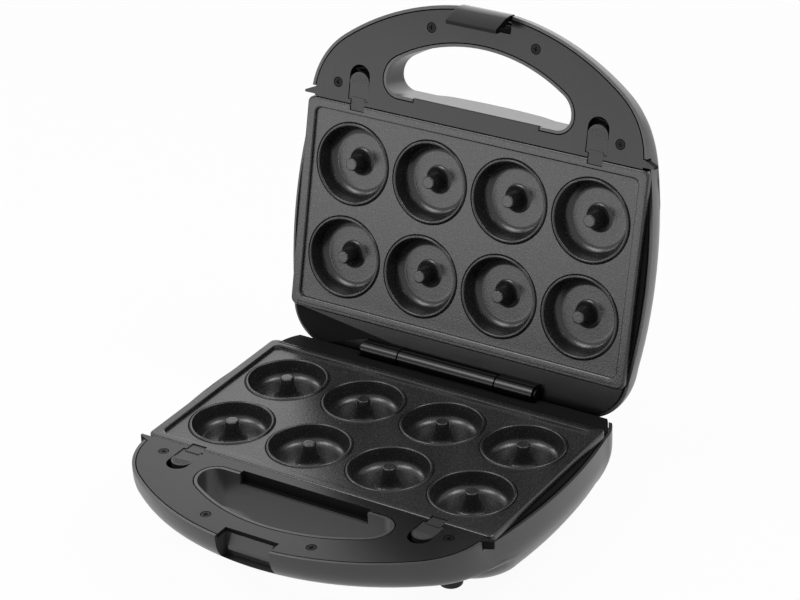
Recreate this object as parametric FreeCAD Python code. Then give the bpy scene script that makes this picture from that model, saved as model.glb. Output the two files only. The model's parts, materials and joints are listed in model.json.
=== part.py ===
import FreeCAD, Part
import math
import os
from collections import namedtuple

V = FreeCAD.Vector
UP = V(0, 0, 1)
ALONG = V(1, 0, 0)
BACK = V(0, 1, 0)

# Sizes in millimetres, angles in degrees.
# Each half is modelled with the hinge axis as its X axis, the handle towards -Y and the plane where
# the closed halves meet at Z = 0. Depths are distances in front of the hinge axis.

# Cooking plates
CUP_COLUMNS = 4
CUP_ROWS = 2
CUP_PITCH_X = 53.0
CUP_PITCH_Y = 57.0
CUP_RADIUS = 22.7
CUP_DEPTH = 11.0
CUP_DRAFT = 1.0
CUP_FILLET = 5.0
POST_TOP_RADIUS = 3.8
POST_WAIST_RADIUS = 5.0
POST_FOOT_RADIUS = 9.0
POST_DROP = 0.2
BEAD_WIDTH = 1.8
BEAD_HEIGHT = 0.6
PLATE_WALL = 1.6
PLATE_MARGIN_X = 9.0
PLATE_MARGIN_Y = 11.3
PLATE_CORNER = 4.0
PLATE_REAR = 15.3
RIM_WIDTH = 5.0
RIM_SLOPE = 1.4
RIM_HEIGHT = 1.9
FLANGE = 2.0
MEETING_GAP = 0.3
GROOVE_WIDTH = 0.8
GROOVE_DEPTH = 0.5

# Housing halves
SHELL_WALL = 1.8
SEAM_GAP = 0.7
TAB_SETBACK = 2.0
SIDE_BULGE = 7.7
SIDE_MID = 75.0
SHOULDER_SHARE = 0.70
HANDLE_LENGTH = 69.7
HANDLE_SLOPE = 4.0
BASE_HANDLE = 21.0
LID_HANDLE = 17.5
BASE_DEPTH = 46.0
LID_DEPTH = 40.0
BASE_REAR = 13.0
LID_REAR = 7.0
BASE_CORNER = 29.0
LID_CORNER = 26.0
BASE_STRAIGHT = 16.0
LID_STRAIGHT = 3.0
SIDE_DROP = 5.5
TROUGH_DROP = 13.0
SCOOP_HALF = 110.0
RIM_DROP = 0.4
EDGE_DROP = 3.0
NOSE_ROUND = 15.5
BODY_AHEAD = 12.0
BODY_ROUND = 36.0
BODY_REACH = 40.0
SIDE_ROUND = 26.0
NOSE_STEPS = 6
UNDERSIDE_STEPS = 4
BODY_STEPS = 8
OVERCUT = 5.0

# Handle opening
HOLE_HALF = 61.0
HOLE_REAR_GAP = 9.8
HOLE_LENGTH = 36.7
HOLE_CORNER = 9.0
HOLE_SHOULDER = 14.0
CHANNEL_HALF = 42.0
CHANNEL_DEPTH = 4.2
CHANNEL_DROP = 7.4

# Inner frame
PANEL_DROP = 0.4
PANEL_WALL = 2.6
RING_DROP = 3.6
RING_WALL = 2.9
FRAME_DROP = 9.0
FRAME_WALL = 2.4
SEAT_CLEARANCE = 0.5
PANEL_OVERHANG = 1.0
BAY_CLEARANCE = 0.9
SKIRT_INSET = 8.0
TAB_WIDTH = 5.0
TAB_REACH = 2.6
TAB_TIP = 1.4

# Hinge
BARREL_RADIUS = 5.0
BARREL_CLEARANCE = 0.5
BARREL_HALF = 32.5
KNUCKLE_GAP = 1.0
KNUCKLE_LENGTH = 24.5
PIN_RADIUS = 2.0
PIN_CLEARANCE = 0.05
PIN_HEAD_RADIUS = 3.4
PIN_HEAD = 1.2
HINGE_WALL_REAR = 0.8
OPEN_ANGLE = 103.5

# Plate latches
LATCH_X = 78.8
LATCH_HALF = 6.5
LATCH_LENGTH = 20.0
LATCH_TRAVEL = 4.2
LATCH_CLEARANCE = 0.3
LATCH_DROP = 0.9
RAIL_HALF = 7.9
RAIL_WALL = 2.0
RAIL_LENGTH = 12.0
NOSE_HALF = 4.6
NOSE_LENGTH = 3.2
THUMB_HEIGHT = 0.4
RIDGE_WIDTH = 1.2
SPRING_LENGTH = 11.4
SPRING_FOLDS = 4
SPRING_HALF = 5.5
SPRING_STRIP = 0.5
SPRING_HEIGHT = 1.9

# Clasp
CLASP_HALF = 16.5
CLASP_CLEARANCE = 0.8
CLASP_WALL = 2.4
CLASP_PIVOT_SETBACK = 5.2
CLASP_PIVOT_DROP = 7.5
CLASP_BARREL_RADIUS = 2.4
CLASP_PIN_RADIUS = 1.0
CLASP_PIN_SEAT = 2.4
CLASP_REACH = 16.0
CLASP_LEAD = 0.6
RECESS_DEPTH = 11.3
RECESS_DROP = 12.4
CATCH_HALF = 13.5
CATCH_REACH = 4.2
CATCH_DROP = 9.0
CATCH_WALL = 2.0
HOOK_ENGAGEMENT = 2.2

# Heating parts
HEATER_RADIUS = 3.3
HEATER_GAP = 0.2
HEATER_OVERHANG = 10.0
HEATER_END_X = 14.0
PAN_WALL = 0.8
PAN_OUTSET = 1.2
PAN_CORNER = 9.0
CLIP_HEIGHT = 1.5
CLIP_HALF = 5.0
CLIP_LENGTH = 8.0
BUSH_RADIUS = 5.4
BUSH_FLANGE_RADIUS = 7.0
BUSH_FLANGE = 1.6
FIT_CLEARANCE = 0.1
THERMOSTAT_RADIUS = 10.0
THERMOSTAT_HEIGHT = 5.0
BLADE_LENGTH = 6.0
BLADE_WIDTH = 5.0
BLADE_WALL = 0.8
BLADE_DROP = 3.0
FUSE_RADIUS = 2.6
FUSE_LENGTH = 14.0
FUSE_X = -45.0
BLOCK_LENGTH = 34.0
BLOCK_WIDTH = 18.0
BLOCK_WAYS = 3
WIRE_RADIUS = 1.2
WIRE_BEND = 2.0
WIRE_DROP = 2.5

# Screws
SCREW_RADIUS = 1.4
SCREW_HEAD_RADIUS = 2.7
SCREW_HEAD = 1.6
SCREW_BITE = 5.0
RECESS_RADIUS = 3.1
TOWER_RADIUS = 4.0
FRONT_SCREW_X = 34.2
FRONT_SCREW_SETBACK = 16.6
SHOULDER_SCREW_X = 93.3
SHOULDER_SCREW_AHEAD = 10.0
REAR_SCREW_X = 88.0
CROSS_HALF = 1.5
CROSS_WIDTH = 0.7
CROSS_DEPTH = 0.9

# Feet, inlet and lamps
FOOT_X = 76.0
FOOT_RADIUS = 8.0
FOOT_DRAFT = 1.2
FOOT_HEIGHT = 5.0
FRONT_FOOT_SETBACK = 19.0
REAR_FOOT_DEPTH = 12.0
INLET_X = 66.0
INLET_BORE = 3.6
INLET_THROAT = 4.2
INLET_RADIUS = 5.4
INLET_BOSS_LENGTH = 14.0
INLET_COLLAR_RADIUS = 6.6
INLET_COLLAR = 2.4
INLET_NOSE = 8.0
LENS_RADIUS = 3.5
LENS_FLANGE_RADIUS = 5.0
LENS_FLANGE = 1.2
LENS_PROUD = 0.9
LENS_X = 9.0
LENS_DEPTH = 100.0
BOARD_HALF = 18.0
BOARD_WIDTH = 14.0
BOARD_WALL = 1.6

# Places that follow from the sizes
CUP_SPAN_X = CUP_PITCH_X * (CUP_COLUMNS - 1)
CUP_SPAN_Y = CUP_PITCH_Y * (CUP_ROWS - 1)
CUP_OUTSIDE = CUP_RADIUS + BEAD_WIDTH
PLATE_HALF = CUP_SPAN_X / 2 + CUP_OUTSIDE + PLATE_MARGIN_X
PLATE_LENGTH = CUP_SPAN_Y + 2 * (CUP_OUTSIDE + PLATE_MARGIN_Y)
PLATE_FRONT = PLATE_REAR + PLATE_LENGTH
PLATE_MID = PLATE_REAR + PLATE_LENGTH / 2
REAR_ROW = PLATE_MID - CUP_SPAN_Y / 2
FRONT_ROW = PLATE_MID + CUP_SPAN_Y / 2
Z_RIM = -MEETING_GAP
Z_LAND = Z_RIM - RIM_HEIGHT
Z_SEAT = Z_LAND - FLANGE
Z_CUP_FLOOR = Z_LAND - CUP_DEPTH
Z_CUP_BOTTOM = Z_CUP_FLOOR - PLATE_WALL
PANEL_EDGE = PLATE_FRONT + SEAT_CLEARANCE
PANEL_REAR = PANEL_EDGE + PANEL_OVERHANG
SHELL_FRONT = PANEL_REAR + HANDLE_LENGTH
TAB_HALF = PLATE_HALF - TAB_SETBACK
HALF_WIDTH = TAB_HALF + SIDE_BULGE
SIDE_RADIUS = ((PANEL_REAR - SIDE_MID) ** 2 + SIDE_BULGE ** 2) / (2 * SIDE_BULGE)
FRAME_INSET = SHELL_WALL + SEAM_GAP
Z_PANEL = -PANEL_DROP
Z_PANEL_UNDER = Z_PANEL - PANEL_WALL
Z_RING = -RING_DROP
Z_RING_UNDER = Z_RING - RING_WALL
Z_FRAME_UNDER = -FRAME_DROP
Z_TROUGH = -TROUGH_DROP
Z_TROUGH_UNDER = Z_TROUGH - FRAME_WALL
BAY_HALF = CUP_SPAN_X / 2 + CUP_RADIUS + PLATE_WALL + BAY_CLEARANCE
BAY_REAR = REAR_ROW - CUP_RADIUS - PLATE_WALL - BAY_CLEARANCE
BAY_FRONT = FRONT_ROW + CUP_RADIUS + PLATE_WALL + BAY_CLEARANCE
HOLE_REAR = PANEL_REAR + HOLE_REAR_GAP
HOLE_FRONT = HOLE_REAR + HOLE_LENGTH
KNUCKLE_START = BARREL_HALF + KNUCKLE_GAP
KNUCKLE_END = KNUCKLE_START + KNUCKLE_LENGTH
RECESS_REAR = SHELL_FRONT - RECESS_DEPTH
RECESS_HALF = CLASP_HALF + CLASP_CLEARANCE
PIVOT_DEPTH = SHELL_FRONT - CLASP_PIVOT_SETBACK
CATCH_FRONT = RECESS_REAR + CATCH_REACH
Z_RECESS = -CLASP_REACH - CLASP_CLEARANCE
LATCH_END = PLATE_FRONT + LATCH_LENGTH
SLOT_END = LATCH_END + LATCH_TRAVEL + LATCH_CLEARANCE
RAIL_START = PANEL_EDGE + FRAME_WALL + LATCH_CLEARANCE
RAIL_END = RAIL_START + RAIL_LENGTH
TRAY_END = RAIL_END + SPRING_LENGTH
Z_LATCH = -LATCH_DROP
Z_LATCH_UNDER = Z_PANEL_UNDER - LATCH_CLEARANCE
Z_RAIL_UNDER = Z_LATCH_UNDER - RAIL_WALL
Z_TRAY = Z_RAIL_UNDER - LATCH_CLEARANCE
Z_HEATER = Z_CUP_BOTTOM - HEATER_GAP - HEATER_RADIUS
Z_PAN = Z_HEATER - HEATER_RADIUS - CLIP_HEIGHT
Z_PAN_UNDER = Z_PAN - PAN_WALL
Z_BLADE = Z_PAN_UNDER - BLADE_DROP
Z_HEATER_END = Z_BLADE
Z_WIRE = Z_BLADE - WIRE_DROP
Z_BLOCK_TOP = Z_WIRE - WIRE_DROP
BLOCK_START = INLET_X - BLOCK_LENGTH * (1 - 0.5 / BLOCK_WAYS)
BLOCK_PITCH = BLOCK_LENGTH / BLOCK_WAYS
INLET_BOSS_RADIUS = INLET_RADIUS + FIT_CLEARANCE + SHELL_WALL
Z_BASE_UNDERSIDE = -BASE_HANDLE - HANDLE_SLOPE
Z_BASE_FLOOR = -BASE_DEPTH + SHELL_WALL
Z_LID_FLOOR = -LID_DEPTH + SHELL_WALL
Z_TABLE = -BASE_DEPTH - FOOT_HEIGHT
HEATER_HALF = CUP_SPAN_X / 2 + HEATER_OVERHANG
PAN_HALF = BAY_HALF + PAN_OUTSET
PAN_REAR = BAY_REAR - PAN_OUTSET
PAN_FRONT = BAY_FRONT + PAN_OUTSET
PANEL_SCREWS = [
    (side * x, depth)
    for side in (-1, 1)
    for x, depth in ((FRONT_SCREW_X, SHELL_FRONT - FRONT_SCREW_SETBACK),
                     (SHOULDER_SCREW_X, PANEL_REAR + SHOULDER_SCREW_AHEAD))
]
REAR_SCREW_DEPTH = (PLATE_REAR + BAY_REAR - FRAME_WALL) / 2
REAR_SCREWS = [(-REAR_SCREW_X, REAR_SCREW_DEPTH), (REAR_SCREW_X, REAR_SCREW_DEPTH)]
SCREW_TIP = Z_FRAME_UNDER - SCREW_BITE
LIP_DROP = PANEL_DROP + PANEL_WALL + FIT_CLEARANCE
Housing = namedtuple("Housing", "depth rear corner straight handle channel")
BASE = Housing(BASE_DEPTH, BASE_REAR, BASE_CORNER, BASE_STRAIGHT, BASE_HANDLE, CHANNEL_DROP)
LID = Housing(LID_DEPTH, LID_REAR, LID_CORNER, LID_STRAIGHT, LID_HANDLE, LIP_DROP)


def block(x0, x1, depth0, depth1, z0, z1):
    """Box between two depths in front of the hinge axis."""
    return Part.makeBox(x1 - x0, depth1 - depth0, z1 - z0, V(x0, -depth1, z0))


def peg(x, depth, radius, z0, z1):
    """Upright round peg."""
    return Part.makeCylinder(radius, z1 - z0, V(x, -depth, z0))


def rod(radius, x0, x1, depth=0.0, z=0.0):
    """Round rod along the hinge direction."""
    return Part.makeCylinder(radius, x1 - x0, V(x0, -depth, z), ALONG)


def prism(wire, z0, z1):
    """Upright prism over an outline drawn at Z = 0."""
    face = Part.Face(wire)
    face.translate(UP * z0)
    return face.extrude(UP * (z1 - z0))


def bar(profile, half):
    """Bar along the hinge direction over a closed profile of (depth, z) points."""
    points = [V(-half, -depth, z) for depth, z in profile]
    return Part.Face(Part.makePolygon(points + points[:1])).extrude(ALONG * (2 * half))


def turned(points):
    """Solid of revolution about Z from a closed profile of (radius, z) points and three-point arcs."""
    edges = []
    for start, stretch in zip(points, points[1:] + points[:1]):
        first = V(start[0], 0, start[1])
        last = V(stretch[0], 0, stretch[1])
        if len(stretch) == 4:
            middle = V(stretch[2], 0, stretch[3])
            edges.append(Part.Arc(first, middle, last).toShape())
        else:
            edges.append(Part.makeLine(first, last))
    return Part.Face(Part.Wire(edges)).revolve(V(0, 0, 0), UP, 360)


def joined(shapes):
    """One solid from pieces that overlap or share faces."""
    return shapes[0].multiFuse(shapes[1:]).removeSplitter()


def mirrored_x(shape):
    return shape.mirror(V(0, 0, 0), ALONG)


def tube(points, radius, bend):
    """Round bar along straight runs joined by tangent arcs."""
    edges = []
    start = points[0]
    for before, corner, after in zip(points, points[1:], points[2:]):
        enter = (before - corner).normalize()
        leave = (after - corner).normalize()
        half_turn = (math.pi - enter.getAngle(leave)) / 2
        trim = bend * math.tan(half_turn)
        inward = (enter + leave).normalize()
        middle = corner + inward * (bend / math.cos(half_turn) - bend)
        edges.append(Part.makeLine(start, corner + enter * trim))
        edges.append(Part.Arc(corner + enter * trim, middle, corner + leave * trim).toShape())
        start = corner + leave * trim
    edges.append(Part.makeLine(start, points[-1]))
    section = Part.Wire(Part.makeCircle(radius, points[0], points[1] - points[0]))
    return Part.Wire(edges).makePipeShell([section], True, False)


def arch(half, front, tab, shoulder):
    """Right half of a tangent arch: where its arcs meet, a point on the shoulder and its foot."""
    reach = front - tab
    big = ((half - shoulder) ** 2 + reach ** 2 - shoulder ** 2) / (2 * (reach - shoulder))
    turn = math.atan2(half - shoulder, big - reach)
    bend = (turn + math.pi / 2) / 2
    meet = V(big * math.sin(turn), -(front - big + big * math.cos(turn)), 0)
    on_shoulder = V(half - shoulder + shoulder * math.sin(bend), -(tab + shoulder * math.cos(bend)), 0)
    return [meet, on_shoulder, V(half, -tab, 0)]


def closed_outline(right, front, z):
    """Outline from the points of its right half, with a straight rear edge and an arch over the front."""
    left = [V(-point.x, point.y, 0) for point in reversed(right)]
    edges = []
    for side in (right, left):
        for first, middle, last in zip(side[::2], side[1::2], side[2::2]):
            edges.append(Part.Arc(first, middle, last).toShape())
        if side is right:
            edges.append(Part.makeLine(right[-1], left[0]))
    edges.append(Part.Arc(left[-1], V(0, -front, 0), right[0]).toShape())
    wire = Part.Wire(edges)
    wire.translate(UP * z)
    return wire


def rear_corner(half, rear, radius):
    """Points after the start of a rounded rear corner."""
    slant = radius * math.sqrt(0.5)
    return [V(half - radius + slant, rear - radius + slant, 0), V(half - radius, rear, 0)]


def side_x(depth):
    """Half width of the bowed side at a depth."""
    return HALF_WIDTH - SIDE_RADIUS + math.sqrt(SIDE_RADIUS ** 2 - (depth - SIDE_MID) ** 2)


def outline(z, front, tab, housing, lean=0.0, wall=0.0):
    """Plan outline of a housing half. Lean draws the sides and rear in, wall draws in everything."""
    inset = lean + wall
    back = housing.rear - inset
    radius = housing.corner - wall
    shoulder = SHOULDER_SHARE * (front - tab) - wall
    right = arch(side_x(tab) - inset, front - wall, tab, shoulder)
    corner_depth = radius - back
    corner_half = side_x(corner_depth) - inset
    right += [V(HALF_WIDTH - inset, -SIDE_MID, 0), V(corner_half, -corner_depth, 0)]
    right += rear_corner(corner_half, back, radius)
    return closed_outline(right, front - wall, z)


def hole_outline(grow=0.0):
    """D outline of the handle opening."""
    half = HOLE_HALF + grow
    rear = -HOLE_REAR + grow
    corner = HOLE_CORNER + grow
    right = arch(half, HOLE_FRONT + grow, corner - rear, HOLE_SHOULDER + grow)
    right += rear_corner(half, rear, corner)
    return closed_outline(right, HOLE_FRONT + grow, 0)


def rounded(half, depth0, depth1, radius, z=0.0):
    """Rectangle with rounded corners."""
    slant = radius * (1 - math.sqrt(0.5))
    edges = []
    corners = [(half, depth0, -1, 1), (half, depth1, -1, -1), (-half, depth1, 1, -1), (-half, depth0, 1, 1)]
    ends = []
    for index, (x, depth, inward, ahead) in enumerate(corners):
        on_side = V(x, -(depth + ahead * radius), z)
        on_end = V(x + inward * radius, -depth, z)
        middle = V(x + inward * slant, -(depth + ahead * slant), z)
        first, last = (on_end, on_side) if index % 2 == 0 else (on_side, on_end)
        edges.append(Part.Arc(first, middle, last).toShape())
        ends.append((first, last))
    for index in range(4):
        edges.insert(2 * index + 1, Part.makeLine(ends[index][1], ends[(index + 1) % 4][0]))
    return Part.Wire(edges)


def side_lean(housing, drop):
    """How far the sides have rounded in at a height below the meeting plane."""
    share = max(0.0, drop - housing.straight) / (housing.depth - housing.straight)
    return SIDE_ROUND * (1 - math.sqrt(max(0.0, 1 - share ** 2)))


def hull_levels(housing):
    """Drop below the meeting plane, front and shoulder reach of each outline, from rim to floor."""
    nose_end = SHELL_FRONT - NOSE_ROUND
    body_front = PANEL_REAR + BODY_AHEAD
    under = housing.handle + HANDLE_SLOPE
    levels = [(RIM_DROP, SHELL_FRONT, HANDLE_LENGTH)]
    for index in range(NOSE_STEPS + 1):
        turn = math.pi / 2 * index / NOSE_STEPS
        drop = EDGE_DROP + (housing.handle - EDGE_DROP) * math.sin(turn)
        levels.append((drop, SHELL_FRONT - NOSE_ROUND * (1 - math.cos(turn)), HANDLE_LENGTH))
    for index in range(1, UNDERSIDE_STEPS):
        share = index / UNDERSIDE_STEPS
        drop = housing.handle + share * HANDLE_SLOPE
        front = nose_end + share * (body_front - nose_end)
        levels.append((drop, front, HANDLE_LENGTH + share * (BODY_REACH - HANDLE_LENGTH)))
    for index in range(BODY_STEPS + 1):
        turn = math.pi / 2 * index / BODY_STEPS
        drop = under + (housing.depth - under) * math.sin(turn)
        levels.append((drop, body_front - BODY_ROUND * (1 - math.cos(turn)), BODY_REACH))
    return levels


def hull_sections(wall, housing):
    """Outlines of a housing half from its rim down to its floor, all moved in by a wall."""
    wires = []
    for drop, front, reach in hull_levels(housing):
        lean = side_lean(housing, drop)
        wires.append(outline(wall - drop, front, front - reach, housing, lean, wall))
    return wires


def hull(housing):
    return Part.makeLoft(hull_sections(0.0, housing), True, True)


def far(z):
    """Well below anything on the half, or well above it."""
    return z * (BASE_DEPTH + LID_DEPTH)


def channel(housing):
    """Slot along the straight edge of the handle opening: deep in the base, a sill in the lid."""
    return block(-CHANNEL_HALF, CHANNEL_HALF, HOLE_REAR - CHANNEL_DEPTH, HOLE_REAR, -housing.channel, 0)


def shell(housing):
    """Outer housing: a deep bowl with a rim, a walled handle opening and screw towers."""
    solid = hull(housing)
    bowl = solid.cut(Part.makeLoft(hull_sections(SHELL_WALL, housing), True, True))
    low = far(-1)
    collar = prism(hole_outline(SHELL_WALL), low, -RIM_DROP)
    towers = [peg(x, depth, TOWER_RADIUS, low, Z_FRAME_UNDER) for x, depth in PANEL_SCREWS + REAR_SCREWS]
    bowl = joined([bowl] + [piece.common(solid) for piece in [collar] + towers])
    cuts = [prism(hole_outline(), low, 0)]
    cuts.append(block(-HALF_WIDTH - OVERCUT, HALF_WIDTH + OVERCUT, -housing.rear - OVERCUT,
                      PANEL_REAR + TAB_WIDTH, -SIDE_DROP, 0))
    cuts.append(channel(housing))
    for x, depth in PANEL_SCREWS + REAR_SCREWS:
        pilot = SCREW_TIP - SCREW_RADIUS
        cuts.append(peg(x, depth, SCREW_RADIUS + PIN_CLEARANCE, pilot, 0))
    return bowl.cut(cuts), solid


def base_shell():
    """Lower housing, with the clasp's catch, the scoop for the open lid and the inlet boss."""
    bowl, solid = shell(BASE)
    half = RECESS_HALF + SHELL_WALL
    pocket = block(-half, half, RECESS_REAR - SHELL_WALL, SHELL_FRONT, Z_BASE_UNDERSIDE, Z_PANEL_UNDER)
    pocket = pocket.common(solid)
    boss = Part.makeCylinder(INLET_BOSS_RADIUS, INLET_BOSS_LENGTH,
                             V(INLET_X, BASE_REAR - INLET_BOSS_LENGTH, Z_WIRE), BACK)
    bowl = joined([bowl, pocket, boss])
    cuts = [block(-RECESS_HALF, RECESS_HALF, RECESS_REAR, SHELL_FRONT + OVERCUT, Z_RECESS, 0)]
    cuts.append(block(-SCOOP_HALF, SCOOP_HALF, -BASE_REAR - OVERCUT, -HINGE_WALL_REAR, Z_TROUGH, 0))
    cuts.append(Part.makeCylinder(INLET_RADIUS + FIT_CLEARANCE, INLET_BOSS_LENGTH,
                                  V(INLET_X, BASE_REAR - INLET_BOSS_LENGTH, Z_WIRE), BACK))
    return joined([bowl.cut(cuts), clasp_catch()])


def clasp_catch():
    """Ramp at the back of the clasp's recess, with a ledge that the hook snaps under."""
    back = RECESS_REAR - SHELL_WALL
    under = -CATCH_DROP - CATCH_WALL
    return bar([(back, under), (CATCH_FRONT, under), (CATCH_FRONT, -CATCH_DROP),
                (RECESS_REAR + MEETING_GAP, Z_PANEL_UNDER), (back, Z_PANEL_UNDER)], CATCH_HALF)


def lid_shell():
    """Upper housing, drawn upside down like the lower one, with the clasp's recess and two lamp holes."""
    bowl, solid = shell(LID)
    wall = SHELL_WALL + CLASP_PIN_SEAT
    pocket = block(-RECESS_HALF - wall, RECESS_HALF + wall, RECESS_REAR - SHELL_WALL, SHELL_FRONT,
                   -RECESS_DROP - SHELL_WALL, Z_PANEL_UNDER).common(solid)
    bowl = joined([bowl, pocket])
    cuts = [block(-RECESS_HALF, RECESS_HALF, RECESS_REAR, SHELL_FRONT + OVERCUT, -RECESS_DROP, 0)]
    seat = RECESS_HALF + CLASP_PIN_SEAT
    cuts.append(rod(CLASP_PIN_RADIUS + PIN_CLEARANCE, -seat, seat, PIVOT_DEPTH, -CLASP_PIVOT_DROP))
    for x in (-LENS_X, LENS_X):
        cuts.append(peg(x, LENS_DEPTH, LENS_RADIUS + FIT_CLEARANCE, far(-1), Z_LID_FLOOR))
    return bowl.cut(cuts)


def latch_tray():
    """Closed channel below the panel that a latch slides in, on the right side."""
    half = RAIL_HALF + LATCH_CLEARANCE + FRAME_WALL / 2
    return block(LATCH_X - half, LATCH_X + half, PANEL_EDGE, TRAY_END + FRAME_WALL / 2,
                 Z_TRAY - FRAME_WALL / 2, Z_PANEL_UNDER)


def latch_room():
    """Space for a latch and its spring, on the right side."""
    slot_half = LATCH_HALF + LATCH_CLEARANCE
    rail_half = RAIL_HALF + LATCH_CLEARANCE
    nose_half = NOSE_HALF + LATCH_CLEARANCE
    straight = SLOT_END - slot_half
    return joined([
        block(LATCH_X - slot_half, LATCH_X + slot_half, PANEL_EDGE + FRAME_WALL, straight, Z_TRAY, 0),
        peg(LATCH_X, straight, slot_half, Z_TRAY, 0),
        block(LATCH_X - nose_half, LATCH_X + nose_half, PLATE_FRONT, straight, Z_LATCH_UNDER, 0),
        block(LATCH_X - rail_half, LATCH_X + rail_half, PANEL_EDGE + FRAME_WALL, TRAY_END,
              Z_TRAY, Z_PANEL_UNDER),
    ])


def bay_outside():
    """Outline round the bay walls, which the pan's lip follows too."""
    return rounded(BAY_HALF + FRAME_WALL, BAY_REAR - FRAME_WALL, BAY_FRONT + FRAME_WALL, PAN_CORNER)


def corner_tab():
    """Wedge at the panel's right rear corner that closes the end of the housing's rim."""
    inner = TAB_HALF - SKIRT_INSET
    tip = PLATE_HALF + TAB_REACH
    ahead = PANEL_REAR + TAB_WIDTH - SEAM_GAP
    corners = [(inner, PANEL_REAR), (tip, PANEL_REAR), (tip, PANEL_REAR + TAB_TIP),
               (TAB_HALF - SHELL_WALL, ahead), (inner, ahead), (inner, PANEL_REAR)]
    wire = Part.makePolygon([V(x, -depth, 0) for x, depth in corners])
    return prism(wire, -SIDE_DROP + FIT_CLEARANCE, Z_PANEL)


def frame(housing):
    """Black inner frame: handle panel, ring round the plate, plate seat, bay walls, bosses and trays."""
    def plan(inset):
        return outline(0, SHELL_FRONT, PANEL_REAR, housing, 0, inset)

    wide = HALF_WIDTH
    ahead = SHELL_FRONT
    full = prism(plan(FRAME_INSET), Z_RING_UNDER, Z_PANEL)
    step = PANEL_EDGE + FRAME_WALL
    panel = full.common(block(-wide, wide, PANEL_EDGE, ahead, Z_PANEL_UNDER, 0))
    ring = full.common(block(-wide, wide, -housing.rear, step, Z_RING_UNDER, Z_RING))
    step_wall = full.common(block(-wide, wide, PANEL_EDGE, step, Z_RING_UNDER, 0))
    skirt = prism(plan(SKIRT_INSET), Z_FRAME_UNDER, Z_PANEL_UNDER)
    skirt = skirt.cut(prism(plan(SKIRT_INSET + FRAME_WALL), Z_FRAME_UNDER, 0))
    skirt = skirt.common(block(-wide, wide, step, ahead, Z_FRAME_UNDER, 0))
    bay_wall = prism(bay_outside(), Z_FRAME_UNDER, Z_SEAT)
    bosses = [peg(x, depth, TOWER_RADIUS, Z_FRAME_UNDER, Z_PANEL) for x, depth in PANEL_SCREWS]
    bosses += [peg(x, depth, TOWER_RADIUS, Z_FRAME_UNDER, Z_SEAT) for x, depth in REAR_SCREWS]
    tab = corner_tab()
    tray = latch_tray()
    pairs = [tray, mirrored_x(tray), tab, mirrored_x(tab)]
    body = joined([panel, ring, step_wall, skirt, bay_wall] + pairs + bosses)
    seat = rounded(PLATE_HALF + SEAT_CLEARANCE, PLATE_REAR - SEAT_CLEARANCE, PANEL_EDGE, PLATE_CORNER)
    cuts = [prism(seat, Z_SEAT, 0)]
    cuts.append(prism(rounded(BAY_HALF, BAY_REAR, BAY_FRONT, PAN_CORNER - FRAME_WALL), Z_FRAME_UNDER, 0))
    cuts.append(prism(hole_outline(FRAME_INSET), Z_FRAME_UNDER, 0))
    cuts.append(block(-RECESS_HALF, RECESS_HALF, RECESS_REAR, ahead, Z_FRAME_UNDER, 0))
    pocket_half = RECESS_HALF + SHELL_WALL + CLASP_PIN_SEAT + SEAM_GAP
    cuts.append(block(-pocket_half, pocket_half, RECESS_REAR - SHELL_WALL - SEAM_GAP, ahead,
                      Z_FRAME_UNDER, Z_PANEL_UNDER))
    room = latch_room()
    cuts += [room, mirrored_x(room)]
    for x, depth in PANEL_SCREWS + REAR_SCREWS:
        cuts.append(peg(x, depth, SCREW_RADIUS + FIT_CLEARANCE, Z_FRAME_UNDER, 0))
        cuts.append(peg(x, depth, RECESS_RADIUS, screw_seat(depth), 0))
    return body.cut(cuts)


def screw_seat(depth):
    """Height of the face that a screw's head bears on."""
    top = Z_PANEL if depth > PANEL_REAR else Z_SEAT
    return top - SCREW_HEAD


def base_frame():
    """Lower frame, with a lined slot, the hinge's middle barrel and a trough for the open lid."""
    gutter = block(-CHANNEL_HALF - FRAME_WALL, CHANNEL_HALF + FRAME_WALL,
                   HOLE_REAR - CHANNEL_DEPTH - FRAME_WALL, HOLE_REAR - FRAME_INSET,
                   -CHANNEL_DROP - SHELL_WALL, Z_PANEL_UNDER)
    body = joined([frame(BASE), gutter]).cut(channel(BASE))
    lean = FRAME_INSET + side_lean(BASE, -Z_TROUGH_UNDER) + SEAM_GAP
    plan = prism(outline(0, SHELL_FRONT, PANEL_REAR, BASE, 0, lean), Z_TROUGH_UNDER, Z_RING)
    wall = plan.common(block(-SCOOP_HALF, SCOOP_HALF, -HINGE_WALL_REAR, FRAME_WALL, Z_TROUGH_UNDER, Z_RING))
    floor = plan.common(block(-HALF_WIDTH, HALF_WIDTH, -BASE_REAR, FRAME_WALL, Z_TROUGH_UNDER, Z_TROUGH))
    body = body.cut(block(-HALF_WIDTH, HALF_WIDTH, -BASE_REAR, -HINGE_WALL_REAR, Z_RING_UNDER, 0))
    body = joined([body, wall, floor, rod(BARREL_RADIUS, -BARREL_HALF, BARREL_HALF)])
    reach = KNUCKLE_END + PIN_HEAD + KNUCKLE_GAP
    cuts = [rod(PIN_RADIUS + PIN_CLEARANCE, -BARREL_HALF, BARREL_HALF)]
    for start, end in ((-reach, -BARREL_HALF), (BARREL_HALF, reach)):
        cuts.append(rod(BARREL_RADIUS + BARREL_CLEARANCE, start, end))
    return body.cut(cuts)


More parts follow.
